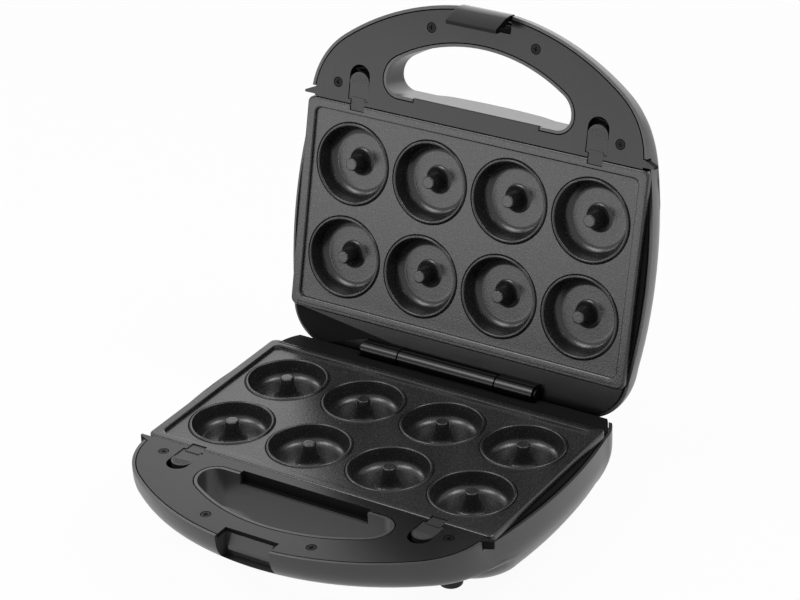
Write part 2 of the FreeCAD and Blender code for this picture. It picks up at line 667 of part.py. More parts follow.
def lid_frame():
    """Upper frame, drawn upside down, with a lip over the sill and the hinge's two outer knuckles."""
    half = CHANNEL_HALF - SEAM_GAP
    lip = block(-half, half, HOLE_REAR - FRAME_INSET, HOLE_REAR, Z_PANEL_UNDER, Z_PANEL)
    body = joined([frame(LID), lip])
    reach = BARREL_HALF + KNUCKLE_GAP
    body = body.cut(rod(BARREL_RADIUS + BARREL_CLEARANCE, -reach, reach))
    parts = [body]
    bores = []
    for start, end in ((-KNUCKLE_END, -KNUCKLE_START), (KNUCKLE_START, KNUCKLE_END)):
        parts.append(rod(BARREL_RADIUS, start, end))
        parts.append(block(start, end, -BARREL_RADIUS + FRAME_WALL / 2, BARREL_RADIUS, Z_RING, 0))
        bores.append(rod(PIN_RADIUS + PIN_CLEARANCE, start, end))
    for side in (-1, 1):
        end = side * (KNUCKLE_END + KNUCKLE_GAP / 2 + PIN_HEAD / 2)
        room = PIN_HEAD / 2 + KNUCKLE_GAP / 2
        bores.append(rod(PIN_HEAD_RADIUS + BARREL_CLEARANCE, end - room, end + room))
    return joined(parts).cut(bores)


def hinge_pin():
    """Hinge pin with a head at each end."""
    length = KNUCKLE_END + KNUCKLE_GAP / 2
    head = rod(PIN_HEAD_RADIUS, length, length + PIN_HEAD)
    return joined([rod(PIN_RADIUS, -length, length), head, mirrored_x(head)])


def bowl(radius, z_top, z_floor, fillet):
    """Round cup solid with a slight draft and a rounded floor edge."""
    low = radius - CUP_DRAFT
    slant = fillet * math.sqrt(0.5)
    return turned([
        (0, z_top), (radius, z_top), (low, z_floor + fillet),
        (low - fillet, z_floor, low - fillet + slant, z_floor + fillet - slant), (0, z_floor),
    ])


def centre_post():
    """Post in the middle of a cup: flat top, steep sides and a flared foot."""
    flare = POST_FOOT_RADIUS - POST_WAIST_RADIUS
    slant = flare * math.sqrt(0.5)
    z_top = Z_RIM - POST_DROP
    return turned([
        (0, Z_CUP_FLOOR - PLATE_WALL / 2), (POST_FOOT_RADIUS, Z_CUP_FLOOR - PLATE_WALL / 2),
        (POST_FOOT_RADIUS, Z_CUP_FLOOR),
        (POST_WAIST_RADIUS, Z_CUP_FLOOR + flare, POST_FOOT_RADIUS - slant, Z_CUP_FLOOR + flare - slant),
        (POST_TOP_RADIUS, z_top), (0, z_top),
    ])


def cup_bead():
    """Rounded ridge round a cup's mouth."""
    outer = CUP_RADIUS + BEAD_WIDTH
    below = Z_LAND - BEAD_HEIGHT
    return turned([
        (CUP_RADIUS, below), (outer, below), (outer, Z_LAND),
        (CUP_RADIUS, Z_LAND, CUP_RADIUS + BEAD_WIDTH / 2, Z_LAND + BEAD_HEIGHT),
    ])


def cup_places():
    places = []
    for row in range(CUP_ROWS):
        for column in range(CUP_COLUMNS):
            x = column * CUP_PITCH_X - CUP_SPAN_X / 2
            places.append(V(x, -(REAR_ROW + row * CUP_PITCH_Y), 0))
    return places


def copies(shape, places):
    return [shape.translated(place) for place in places]


def plate():
    """Cast plate: a flange with a raised rim and a field of ring cups."""
    slab = prism(rounded(PLATE_HALF, PLATE_REAR, PLATE_FRONT, PLATE_CORNER), Z_SEAT, Z_RIM)
    wide = RIM_WIDTH
    narrow = RIM_WIDTH + RIM_SLOPE
    tray = Part.makeLoft([
        rounded(PLATE_HALF - wide, PLATE_REAR + wide, PLATE_FRONT - wide, PLATE_CORNER, Z_RIM),
        rounded(PLATE_HALF - narrow, PLATE_REAR + narrow, PLATE_FRONT - narrow, PLATE_CORNER, Z_LAND),
    ], True, True)
    places = cup_places()
    cups = bowl(CUP_RADIUS + PLATE_WALL, Z_LAND, Z_CUP_BOTTOM, CUP_FILLET + PLATE_WALL)
    cavity = bowl(CUP_RADIUS, Z_RIM, Z_CUP_FLOOR, CUP_FILLET)
    body = slab.cut(tray)
    body = joined([body] + copies(cups, places) + copies(cup_bead(), places))
    body = body.cut(copies(cavity, places))
    body = joined([body] + copies(centre_post(), places))
    notch = NOSE_HALF + LATCH_CLEARANCE
    notch_rear = PLATE_FRONT - NOSE_LENGTH - LATCH_CLEARANCE
    cuts = []
    for x in (-LATCH_X, LATCH_X):
        cuts.append(block(x - notch, x + notch, notch_rear, PLATE_FRONT, Z_SEAT, 0))
    for lane in (1, 3):
        groove = PLATE_REAR + lane * GROOVE_WIDTH
        cuts.append(block(-PLATE_HALF + RIM_WIDTH, PLATE_HALF - RIM_WIDTH, groove, groove + GROOVE_WIDTH,
                          Z_RIM - GROOVE_DEPTH, Z_RIM))
    return body.cut(cuts)


def latch():
    """Sliding plate latch on the right side: nose, cross ridge, raised thumb pad and rails."""
    straight = LATCH_END - LATCH_HALF
    z_thumb = Z_LATCH + THUMB_HEIGHT
    ridge_start = RAIL_START + LATCH_CLEARANCE

    def across(half, depth0, depth1, z0, z1):
        return block(LATCH_X - half, LATCH_X + half, depth0, depth1, z0, z1)

    pad = peg(LATCH_X, straight, LATCH_HALF, Z_LATCH, z_thumb)
    pad = pad.common(across(LATCH_HALF, straight - RIDGE_WIDTH, LATCH_END, Z_LATCH, z_thumb))
    return joined([
        across(LATCH_HALF, RAIL_START, straight, Z_LATCH_UNDER, Z_LATCH),
        peg(LATCH_X, straight, LATCH_HALF, Z_LATCH_UNDER, Z_LATCH),
        across(RAIL_HALF, RAIL_START, RAIL_END, Z_RAIL_UNDER, Z_LATCH_UNDER),
        across(NOSE_HALF, PLATE_FRONT - NOSE_LENGTH, RAIL_START, Z_LATCH_UNDER, Z_LATCH),
        pad,
        across(NOSE_HALF, ridge_start, ridge_start + RIDGE_WIDTH, Z_LATCH, z_thumb),
    ])


def latch_spring():
    """Folded leaf spring between a latch's rails and the end of its tray, on the right side."""
    clear = LATCH_CLEARANCE / 3
    first = RAIL_END + clear
    pitch = (SPRING_LENGTH - 2 * clear - SPRING_STRIP) / SPRING_FOLDS
    legs = []
    for fold in range(SPRING_FOLDS):
        x0 = LATCH_X + SPRING_HALF * (-1) ** fold
        x1 = 2 * LATCH_X - x0
        y0 = -first - fold * pitch
        strip = V(0, -SPRING_STRIP, 0)
        corners = [V(x0, y0, 0), V(x1, y0 - pitch, 0)]
        legs.append(Part.makePolygon(corners + [corners[1] + strip, corners[0] + strip, corners[0]]))
    z_low = Z_TRAY + LATCH_CLEARANCE / 2
    return joined([prism(leg, z_low, z_low + SPRING_HEIGHT) for leg in legs])


def clasp():
    """Swinging clasp of the lid, drawn with the lid upside down: its hook passes the meeting plane."""
    face = SHELL_FRONT - MEETING_GAP
    pivot = -CLASP_PIVOT_DROP
    hook = CATCH_DROP + CATCH_WALL + MEETING_GAP
    tip = CATCH_FRONT - HOOK_ENGAGEMENT
    wall = CLASP_WALL
    throat = CATCH_FRONT + MEETING_GAP
    shoulder = (PIVOT_DEPTH + CLASP_BARREL_RADIUS - wall / 2, pivot - CLASP_BARREL_RADIUS + wall / 3)
    outside = [shoulder, (face, pivot / 2), (face, 0), (face - wall / 2, hook / 2), (throat + wall, hook)]
    end = [(throat, CLASP_REACH), (tip, CLASP_REACH - CLASP_LEAD), (tip, hook), (throat, hook)]
    inside = [(throat, hook / 2), (face - wall, 0), (face - wall, pivot / 2), (PIVOT_DEPTH, pivot)]
    flap = bar(outside + end + inside, CLASP_HALF)
    barrel = rod(CLASP_BARREL_RADIUS, -CLASP_HALF, CLASP_HALF, PIVOT_DEPTH, pivot)
    bore = rod(CLASP_PIN_RADIUS + PIN_CLEARANCE, -CLASP_HALF, CLASP_HALF, PIVOT_DEPTH, pivot)
    return joined([flap, barrel]).cut(bore)


def clasp_pin():
    seat = RECESS_HALF + CLASP_PIN_SEAT
    return rod(CLASP_PIN_RADIUS, -seat, seat, PIVOT_DEPTH, -CLASP_PIVOT_DROP)


def heater():
    """Tubular heating element: one loop under both rows of cups, with its ends turned down."""
    right = [V(HEATER_END_X, -REAR_ROW, Z_HEATER_END), V(HEATER_END_X, -REAR_ROW, Z_HEATER),
             V(HEATER_HALF, -REAR_ROW, Z_HEATER), V(HEATER_HALF, -FRONT_ROW, Z_HEATER)]
    left = [V(-point.x, point.y, point.z) for point in reversed(right)]
    return tube(right + left, HEATER_RADIUS, HEATER_RADIUS + CLIP_HEIGHT)


def heater_clips():
    """Saddles that carry the heating element on the pan."""
    clips = []
    for depth in (REAR_ROW, FRONT_ROW):
        for x in (-CUP_PITCH_X, CUP_PITCH_X):
            saddle = block(x - CLIP_HALF, x + CLIP_HALF, depth - CLIP_LENGTH / 2, depth + CLIP_LENGTH / 2,
                           Z_PAN, Z_HEATER)
            channel = rod(HEATER_RADIUS + FIT_CLEARANCE, x - CLIP_HALF, x + CLIP_HALF, depth, Z_HEATER)
            clips.append(saddle.cut(channel))
    return Part.makeCompound(clips)


def heater_terminals():
    """Ceramic bushes that take the heater's ends through the pan's floor."""
    bushes = []
    for x in (-HEATER_END_X, HEATER_END_X):
        flange = peg(x, REAR_ROW, BUSH_FLANGE_RADIUS, Z_PAN_UNDER - BUSH_FLANGE, Z_PAN_UNDER)
        sleeve = peg(x, REAR_ROW, BUSH_RADIUS, Z_HEATER_END, Z_PAN)
        bore = peg(x, REAR_ROW, HEATER_RADIUS + FIT_CLEARANCE, Z_HEATER_END, Z_PAN)
        bushes.append(joined([flange, sleeve]).cut(bore))
    return Part.makeCompound(bushes)


def reflector():
    """Sheet pan below the plate, hung by its lip under the frame's bay walls."""
    pan = prism(rounded(PAN_HALF, PAN_REAR, PAN_FRONT, PAN_CORNER), Z_PAN_UNDER, Z_FRAME_UNDER)
    lip = prism(bay_outside(), Z_FRAME_UNDER - PAN_WALL, Z_FRAME_UNDER)
    inside = rounded(PAN_HALF - PAN_WALL, PAN_REAR + PAN_WALL, PAN_FRONT - PAN_WALL, PAN_CORNER - PAN_WALL)
    cuts = [prism(inside, Z_PAN, Z_FRAME_UNDER)]
    for x in (-HEATER_END_X, HEATER_END_X):
        cuts.append(peg(x, REAR_ROW, BUSH_RADIUS + FIT_CLEARANCE, Z_PAN_UNDER, Z_PAN))
    for x, depth in REAR_SCREWS:
        cuts.append(peg(x, depth, TOWER_RADIUS + FIT_CLEARANCE, Z_PAN_UNDER, Z_FRAME_UNDER))
    return joined([pan, lip]).cut(cuts)


def thermostat():
    """Disc thermostat on the pan's underside, with two blade terminals."""
    reach = THERMOSTAT_RADIUS + BLADE_LENGTH / 2
    disc = peg(0, PLATE_MID, THERMOSTAT_RADIUS, Z_PAN_UNDER - THERMOSTAT_HEIGHT, Z_PAN_UNDER)
    blades = block(-reach, reach, PLATE_MID - BLADE_WIDTH / 2, PLATE_MID + BLADE_WIDTH / 2,
                   Z_BLADE, Z_BLADE + BLADE_WALL)
    return joined([disc, blades])


def thermal_fuse():
    """Thermal cut-out in its saddle on the pan's underside."""
    z = Z_PAN_UNDER - FUSE_RADIUS
    barrel = rod(FUSE_RADIUS, FUSE_X - FUSE_LENGTH / 2, FUSE_X + FUSE_LENGTH / 2, PLATE_MID, z)
    saddle = block(FUSE_X - FUSE_RADIUS, FUSE_X + FUSE_RADIUS, PLATE_MID - FUSE_RADIUS - PAN_WALL,
                   PLATE_MID + FUSE_RADIUS + PAN_WALL, z, Z_PAN_UNDER)
    return joined([barrel, saddle])


def terminal_block():
    """Screw terminal block on the lower housing's floor, with one pocket above each way."""
    half = BLOCK_WIDTH / 2
    body = block(BLOCK_START, BLOCK_START + BLOCK_LENGTH, REAR_ROW - half, REAR_ROW + half,
                 Z_BASE_FLOOR, Z_BLOCK_TOP)
    z = (Z_BASE_FLOOR + Z_BLOCK_TOP) / 2
    pockets = []
    for way in range(BLOCK_WAYS):
        for side in (-1, 1):
            depth = REAR_ROW + side * half / 2
            pockets.append(peg(way_x(way), depth, SCREW_RADIUS, z, Z_BLOCK_TOP))
    return body.cut(pockets)


def way_x(way):
    """Place across the terminal block of one of its ways. The last one faces the inlet."""
    return BLOCK_START + (way + 0.5) * BLOCK_PITCH


def base_wiring():
    """Insulated leads between the heater's ends, the thermostat, the terminal block and the inlet."""
    def into_block(way):
        return [V(way_x(way), -REAR_ROW, Z_WIRE), V(way_x(way), -REAR_ROW, Z_BLOCK_TOP)]

    blade_x = THERMOSTAT_RADIUS + BLADE_LENGTH / 4
    inlet_y = BASE_REAR - INLET_BOSS_LENGTH - INLET_COLLAR
    supply_x = way_x(BLOCK_WAYS - 1)
    right = [V(HEATER_END_X, -REAR_ROW, Z_HEATER_END), V(HEATER_END_X, -REAR_ROW, Z_WIRE)]
    left = [V(-HEATER_END_X, -REAR_ROW, Z_HEATER_END), V(-HEATER_END_X, -REAR_ROW, Z_WIRE),
            V(-blade_x, -PLATE_MID, Z_WIRE), V(-blade_x, -PLATE_MID, Z_BLADE)]
    sense = [V(blade_x, -PLATE_MID, Z_BLADE), V(blade_x, -PLATE_MID, Z_WIRE),
             V(way_x(1), -PLATE_MID, Z_WIRE)]
    supply = [V(supply_x, inlet_y, Z_WIRE)]
    routes = [right + into_block(0), left, sense + into_block(1), supply + into_block(BLOCK_WAYS - 1)]
    return Part.makeCompound([tube(route, WIRE_RADIUS, WIRE_BEND) for route in routes])


def lid_wiring():
    """Leads from the lid's heater ends to its lamp board, drawn upside down."""
    edge = LENS_DEPTH - BOARD_WIDTH / 2
    z = Z_LID_FLOOR + LENS_FLANGE + BOARD_WALL / 2
    routes = []
    for x in (-HEATER_END_X, HEATER_END_X):
        routes.append([V(x, -REAR_ROW, Z_HEATER_END), V(x, -REAR_ROW, z), V(x, -edge, z)])
    return Part.makeCompound([tube(route, BOARD_WALL / 2, WIRE_BEND) for route in routes])


def screw(x, depth):
    """Pan-head screw with a cross recess."""
    seat = screw_seat(depth)
    top = seat + SCREW_HEAD - FIT_CLEARANCE
    head = peg(x, depth, SCREW_HEAD_RADIUS, seat, top)
    body = joined([head, peg(x, depth, SCREW_RADIUS, SCREW_TIP, seat)])
    half = CROSS_WIDTH / 2
    slots = [block(x - CROSS_HALF, x + CROSS_HALF, depth - half, depth + half, top - CROSS_DEPTH, top),
             block(x - half, x + half, depth - CROSS_HALF, depth + CROSS_HALF, top - CROSS_DEPTH, top)]
    return body.cut(slots)


def screws():
    return Part.makeCompound([screw(x, depth) for x, depth in PANEL_SCREWS + REAR_SCREWS])


def foot(x, depth, body):
    """Rubber foot that fills the space between the housing's underside and the table."""
    low = FOOT_RADIUS - FOOT_DRAFT
    round_off = FOOT_DRAFT * math.sqrt(0.5)
    pad = turned([
        (0, Z_TABLE), (low - FOOT_DRAFT, Z_TABLE),
        (low, Z_TABLE + FOOT_DRAFT, low - FOOT_DRAFT + round_off, Z_TABLE + FOOT_DRAFT - round_off),
        (FOOT_RADIUS, Z_BASE_UNDERSIDE), (0, Z_BASE_UNDERSIDE),
    ])
    return pad.translated(V(x, -depth, 0)).cut(body)


def cord_inlet():
    """Rubber bush in the rear wall: a wide throat inside and a snug nose for a supply cord."""
    y = BASE_REAR - INLET_BOSS_LENGTH
    outside = BASE_REAR + INLET_COLLAR

    def ring(radius, y0, y1):
        return Part.makeCylinder(radius, y1 - y0, V(INLET_X, y0, Z_WIRE), BACK)

    body = joined([
        ring(INLET_COLLAR_RADIUS, y - INLET_COLLAR, y), ring(INLET_RADIUS, y, BASE_REAR),
        ring(INLET_COLLAR_RADIUS, BASE_REAR, outside), ring(INLET_RADIUS, outside, outside + INLET_NOSE),
    ])
    throat = ring(INLET_THROAT, y - INLET_COLLAR, outside)
    return body.cut([throat, ring(INLET_BORE, outside, outside + INLET_NOSE)])


def lens(x):
    """Indicator lamp lens in the lid's top, drawn upside down."""
    cap = peg(x, LENS_DEPTH, LENS_RADIUS, -LID_DEPTH - LENS_PROUD, Z_LID_FLOOR)
    flange = peg(x, LENS_DEPTH, LENS_FLANGE_RADIUS, Z_LID_FLOOR, Z_LID_FLOOR + LENS_FLANGE)
    return joined([cap, flange])


def lamp_board():
    """Small board that carries the lamps behind the lenses, drawn upside down."""
    z = Z_LID_FLOOR + LENS_FLANGE
    return block(-BOARD_HALF, BOARD_HALF, LENS_DEPTH - BOARD_WIDTH / 2, LENS_DEPTH + BOARD_WIDTH / 2,
                 z, z + BOARD_WALL)


def base_nodes():
    """Pieces of the lower half in their places."""
    body = hull(BASE)
    right_latch = latch()
    right_spring = latch_spring()
    nodes = {
        "base_shell": base_shell(),
        "base_frame": base_frame(),
        "base_plate": plate(),
        "base_right_latch": right_latch,
        "base_left_latch": mirrored_x(right_latch),
        "base_right_spring": right_spring,
        "base_left_spring": mirrored_x(right_spring),
        "base_reflector": reflector(),
        "base_heater": heater(),
        "base_heater_clips": heater_clips(),
        "base_heater_terminals": heater_terminals(),
        "thermostat": thermostat(),
        "thermal_fuse": thermal_fuse(),
        "terminal_block": terminal_block(),
        "base_wiring": base_wiring(),
        "base_screws": screws(),
        "cord_inlet": cord_inlet(),
        "hinge_pin": hinge_pin(),
    }
    for end, depth in (("front", PANEL_REAR - FRONT_FOOT_SETBACK), ("rear", REAR_FOOT_DEPTH)):
        nodes[end + "_left_foot"] = foot(-FOOT_X, depth, body)
        nodes[end + "_right_foot"] = foot(FOOT_X, depth, body)
    return nodes


def lid_nodes():
    """Pieces of the upper half, turned over and swung open."""
    right_latch = latch()
    right_spring = latch_spring()
    nodes = {
        "lid_shell": lid_shell(),
        "lid_frame": lid_frame(),
        "lid_plate": plate(),
        "lid_right_latch": right_latch,
        "lid_left_latch": mirrored_x(right_latch),
        "lid_right_spring": right_spring,
        "lid_left_spring": mirrored_x(right_spring),
        "lid_reflector": reflector(),
        "lid_heater": heater(),
        "lid_heater_clips": heater_clips(),
        "lid_heater_terminals": heater_terminals(),
        "lid_wiring": lid_wiring(),
        "lid_screws": screws(),
        "clasp": clasp(),
        "clasp_pin": clasp_pin(),
        "power_lens": lens(-LENS_X),
        "ready_lens": lens(LENS_X),
        "lamp_board": lamp_board(),
    }
    for name, shape in nodes.items():
        turned_over = shape.mirror(V(0, 0, 0), UP)
        turned_over.rotate(V(0, 0, 0), ALONG, -OPEN_ANGLE)
        nodes[name] = turned_over
    return nodes


def main():
    """Stand the open snack maker on its feet, centred on the origin, and write each piece."""
    nodes = {**base_nodes(), **lid_nodes()}
    box = FreeCAD.BoundBox()
    for shape in nodes.values():
        box.add(shape.optimalBoundingBox())
    shift = V(0, -(box.YMin + box.YMax) / 2, -Z_TABLE)
    os.makedirs("parts", exist_ok=True)
    for name, shape in nodes.items():
        placed = shape.translated(shift)
        placed.exportStep("parts/" + name + ".step")
        print(name, len(placed.Solids), placed.isValid(), round(placed.Volume))
    print("hinge axis y", shift.y, "z", shift.z)
    print("box", box.XLength, box.YLength, box.ZLength)


main()
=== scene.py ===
"""Dresses the ring cake maker's parts and sets them on a studio stage.

Laid out as an add-on, run as a script.
"""

import json
import math
from typing import NamedTuple

import bmesh
import bpy
from bpy.props import FloatProperty, FloatVectorProperty, IntProperty, PointerProperty
from mathutils import Matrix, Vector

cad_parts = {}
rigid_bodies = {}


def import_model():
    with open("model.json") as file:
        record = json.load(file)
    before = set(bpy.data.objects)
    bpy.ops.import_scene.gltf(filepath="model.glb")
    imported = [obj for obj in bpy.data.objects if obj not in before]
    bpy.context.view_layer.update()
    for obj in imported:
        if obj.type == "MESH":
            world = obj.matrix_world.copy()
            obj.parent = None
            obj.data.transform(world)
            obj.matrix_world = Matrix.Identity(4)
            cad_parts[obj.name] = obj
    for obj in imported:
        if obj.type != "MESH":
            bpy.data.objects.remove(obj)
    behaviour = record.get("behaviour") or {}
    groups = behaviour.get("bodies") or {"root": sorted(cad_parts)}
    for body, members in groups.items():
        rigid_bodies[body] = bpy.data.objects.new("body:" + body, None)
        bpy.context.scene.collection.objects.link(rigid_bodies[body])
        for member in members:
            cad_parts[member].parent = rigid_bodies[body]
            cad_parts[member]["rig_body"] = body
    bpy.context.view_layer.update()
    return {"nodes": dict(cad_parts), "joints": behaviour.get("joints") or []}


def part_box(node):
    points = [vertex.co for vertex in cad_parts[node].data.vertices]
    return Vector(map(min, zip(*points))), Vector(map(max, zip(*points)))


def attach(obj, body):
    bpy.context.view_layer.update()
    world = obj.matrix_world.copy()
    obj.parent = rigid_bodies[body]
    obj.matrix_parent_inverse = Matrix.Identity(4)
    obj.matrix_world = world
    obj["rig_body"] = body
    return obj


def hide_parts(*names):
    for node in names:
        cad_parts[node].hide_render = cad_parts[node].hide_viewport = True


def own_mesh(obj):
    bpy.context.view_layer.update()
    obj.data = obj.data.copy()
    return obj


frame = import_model()

bl_info = {
    "name": "Ring Cake Maker",
    "version": (1, 0, 0),
    "blender": (4, 5, 0),
    "location": "View3D > Sidebar > Ring Cake Maker",
    "description": "Dresses the parts of a ring cake maker and sets its studio stage",
    "category": "Object",
}

MM = 0.001
# Points nearer than this become one.
WELD = 1e-6
# Flatter faces are joined, and sharper edges are rounded.
FLAT_ANGLE = math.radians(0.4)
SMOOTH_ANGLE = math.radians(32)
BEVEL_SEGMENTS = 2
CUP_SEGMENTS = 96
# How strongly large faces rule the shading of the edges beside them.
SHADING_WEIGHT = 90

# The hinge axis is the origin of each half: handle towards -Y, meeting plane at Z = 0.
HINGE = next(joint for joint in frame["joints"] if joint["name"] == "lid_hinge")
HINGE_SPOT = Vector(HINGE["pos_m"])
OPEN_ANGLE = -math.radians(min(HINGE["range_deg"]))
BASE_PLACE = Matrix.Translation(HINGE_SPOT)
LID_TURN = Matrix.Rotation(-OPEN_ANGLE, 4, "X") @ Matrix.Rotation(math.pi, 4, "Y")
LID_PLACE = BASE_PLACE @ LID_TURN
HALVES = {"base": BASE_PLACE, "lid": LID_PLACE}


def length(name, description, default):
    """A length in metres that a user may change."""
    return FloatProperty(
        name=name, description=description, default=default, unit="LENGTH", precision=5)


def angle(name, description, degrees):
    """An angle, given in degrees and kept in radians."""
    return FloatProperty(
        name=name, description=description, default=math.radians(degrees), unit="ROTATION")


def share(name, description, default):
    """A number from 0 to 1."""
    return FloatProperty(
        name=name, description=description, default=default, min=0, max=1, subtype="FACTOR")


def tint(name, description, default):
    """A linear colour of three numbers."""
    return FloatVectorProperty(
        name=name, description=description, default=default, size=3, subtype="COLOR", min=0, max=1)


class PlateShape(bpy.types.PropertyGroup):
    """Sizes of a cooking plate and its ring cups."""

    columns: IntProperty(name="Columns", description="Cups across a plate", default=4)
    rows: IntProperty(name="Rows", description="Rows of cups on a plate", default=2)
    pitch_x: length("Pitch across", "Distance between cups across a plate", 53 * MM)
    pitch_y: length("Pitch along", "Distance between rows", 57 * MM)
    cup_radius: length("Cup radius", "Inner radius at a cup's mouth", 22.7 * MM)
    cup_depth: length("Cup depth", "Depth below the land", 11 * MM)
    cup_draft: length("Cup draft", "How far a cup narrows to its floor", 1 * MM)
    cup_fillet: length("Cup fillet", "Rounding between wall and floor", 5.5 * MM)
    bead_width: length("Bead width", "Width of the ridge round a cup", 1.8 * MM)
    bead_height: length("Bead height", "Height of the ridge round a cup", 0.8 * MM)
    moat_width: length("Moat width", "Width of the fine line outside the ridge", 0.8 * MM)
    moat_depth: length("Moat depth", "Depth of the fine line outside the ridge", 0.6 * MM)
    post_top: length("Post top radius", "Radius of a post's flat top", 3.8 * MM)
    post_waist: length("Post waist radius", "Radius above a post's flared foot", 5 * MM)
    post_foot: length("Post foot radius", "Radius where a post meets the floor", 9 * MM)
    post_rise: length("Post foot height", "Height of a post's flared foot", 6 * MM)
    post_edge: length("Post edge", "Rounding of a post's top edge", 0.7 * MM)
    post_drop: length("Post drop", "How far a post stays below the rim", 0.2 * MM)
    wall: length("Wall", "Thickness of the casting under the cups", 1.6 * MM)
    rim_width: length("Rim width", "Flat width of the raised rim", 5 * MM)
    rim_slope: length("Rim slope", "Width of the slope from rim to land", 1.4 * MM)
    rim_height: length("Rim height", "Height of the rim above the land", 1.9 * MM)
    rim_round: length("Rim rounding", "Rounding of the rim's edges", 1.1 * MM)
    edge_depth: length("Edge depth", "Thickness of the plate's edge below the land", 2 * MM)
    edge_chamfer: length("Edge chamfer", "Bevel along the edge's underside", 0.4 * MM)
    ledge: length("Ledge", "Width of the ledge under the edge", 2.5 * MM)
    corner: length("Corner radius", "Plan radius of a plate's corners", 4 * MM)
    notch_half: length("Notch half width", "Half width of the latch notches", 4.9 * MM)
    notch_depth: length("Notch depth", "How far the latch notches reach in", 3.5 * MM)
    latch_x: length("Latch place", "Distance of the latches from the middle", 78.8 * MM)
    groove: length("Groove width", "Width of the two lines along the rear rim", 0.8 * MM)
    groove_depth: length("Groove depth", "Depth of the two lines along the rear rim", 0.5 * MM)


class GripShape(bpy.types.PropertyGroup):
    """Sizes of the ribbed thumb pads on the plate latches."""

    pad: length("Pad radius", "Radius of a latch's round end", 6.5 * MM)
    edge: length("Pad edge", "Plain edge that the ribs leave", 1.2 * MM)
    ribs: IntProperty(name="Ribs", description="Ribs on a pad", default=5)
    pitch: length("Rib pitch", "Distance between ribs", 1 * MM)
    rib_width: length("Rib width", "Width of a rib", 0.6 * MM)
    rib_height: length("Rib height", "Height of a rib", 0.22 * MM)


class EdgeSizes(bpy.types.PropertyGroup):
    """Rounding of moulded and cut edges."""

    housing: length("Housing edges", "Rounding of the housings' edges", 0.5 * MM)
    panel: length("Frame edges", "Rounding of the inner frames' edges", 0.3 * MM)
    small: length("Small edges", "Rounding of latches, clasp and other small parts", 0.25 * MM)
    fine: length("Fine edges", "Rounding of sheet and wire parts", 0.1 * MM)


class Finishes(bpy.types.PropertyGroup):
    """Colours and gloss of the surfaces."""

    housing: tint("Housing", "Dark grey of the outer housings", (0.055, 0.0553, 0.0565))
    housing_rough: share("Housing roughness", "Roughness of the outer housings", 0.33)
    panel: tint("Frame", "Black of the inner frames", (0.002, 0.002, 0.0021))
    panel_rough: share("Frame roughness", "Roughness of the inner frames' panels", 0.22)
    inner_rough: share("Inner roughness", "Roughness of the frames round the plates", 0.75)
    latch: tint("Latch", "Black of the plate latches", (0.014, 0.014, 0.0145))
    latch_rough: share("Latch roughness", "Roughness of the plate latches", 0.42)
    clasp_rough: share("Clasp roughness", "Roughness of the clasp", 0.18)
    coating: tint("Plate coating", "Dark grey of the non-stick coating", (0.012, 0.012, 0.0124))
    coating_rough: share("Coating roughness", "Roughness of the non-stick coating", 0.22)
    fleck: tint("Coating flecks", "Bright flecks in the coating", (0.15, 0.15, 0.153))
    steel: tint("Steel", "Bright sheet steel", (0.56, 0.56, 0.57))
    zinc: tint("Black zinc", "Screws, pins and springs", (0.018, 0.018, 0.019))
    heater: tint("Heater", "Heat-tinted heater sheath", (0.23, 0.21, 0.2))
    ceramic: tint("Ceramic", "White ceramic bushes", (0.78, 0.76, 0.71))
    braid: tint("Wire braid", "Braided sleeve of the leads", (0.7, 0.68, 0.62))
    rubber: tint("Rubber", "Feet and cord inlet", (0.018, 0.018, 0.018))
    power: tint("Power lamp", "Lens of the power lamp", (0.55, 0.02, 0.015))
    ready: tint("Ready lamp", "Lens of the ready lamp", (0.03, 0.4, 0.07))
    board: tint("Board", "Lacquer of the lamp board", (0.02, 0.12, 0.04))
    track: tint("Board tracks", "Lacquer over the board's copper tracks", (0.08, 0.26, 0.1))


class StageSettings(bpy.types.PropertyGroup):
    """Camera, lamps and backdrop."""

    azimuth: angle("Azimuth", "Camera's turn about the object", 32.62)
    elevation: angle("Elevation", "Camera's height angle", 27.79)
    roll: angle("Roll", "Camera's tilt about its own axis", -1.93)
    distance: length("Distance", "Camera's distance from its target", 1.62078)
    ahead: length("Target depth", "Camera's target in front of the hinge axis", 0.049956)
    above: length("Target height", "Camera's target above the hinge axis", 0.07004)
    lens: FloatProperty(
        name="Lens", description="Focal length for a 36 mm sensor", default=129.85, unit="CAMERA")
    ambient: share("Ambient", "Level of the even light all round", 0.15)
    floor: tint("Floor", "Pale floor", (0.8, 0.8, 0.8))
    floor_half: length("Floor half width", "Half the width of the floor", 0.8)
    lift: share("Floor lift", "How far the seen floor is lifted to white", 0.95)


class RingCakeMaker(bpy.types.PropertyGroup):
    """All that can be set on the ring cake maker."""

    panel_depth: length(
        "Panel skin", "How deep below the meeting plane the panels' satin skin reaches", 0.9 * MM)
    barrel_reach: length("Barrel reach", "Radius of the hinge barrels' satin skin", 5.4 * MM)
    plate: PointerProperty(type=PlateShape)
    grip: PointerProperty(type=GripShape)
    edges: PointerProperty(type=EdgeSizes)
    finishes: PointerProperty(type=Finishes)
    stage: PointerProperty(type=StageSettings)


class Signal:
    """A socket of a shader's nodes that takes part in Python expressions."""

    def __init__(self, nodes, socket):
        self.nodes = nodes
        self.socket = socket

    def maths(self, operation, first, second):
        """A Math node on two values or signals."""
        return self.nodes.add("ShaderNodeMath", {"operation": operation}, {0: first, 1: second})

    def __add__(self, other):
        return self.maths("ADD", self, other)

    def __radd__(self, other):
        return self.maths("ADD", other, self)

    def __sub__(self, other):
        return self.maths("SUBTRACT", self, other)

    def __rsub__(self, other):
        return self.maths("SUBTRACT", other, self)

    def __mul__(self, other):
        return self.maths("MULTIPLY", self, other)


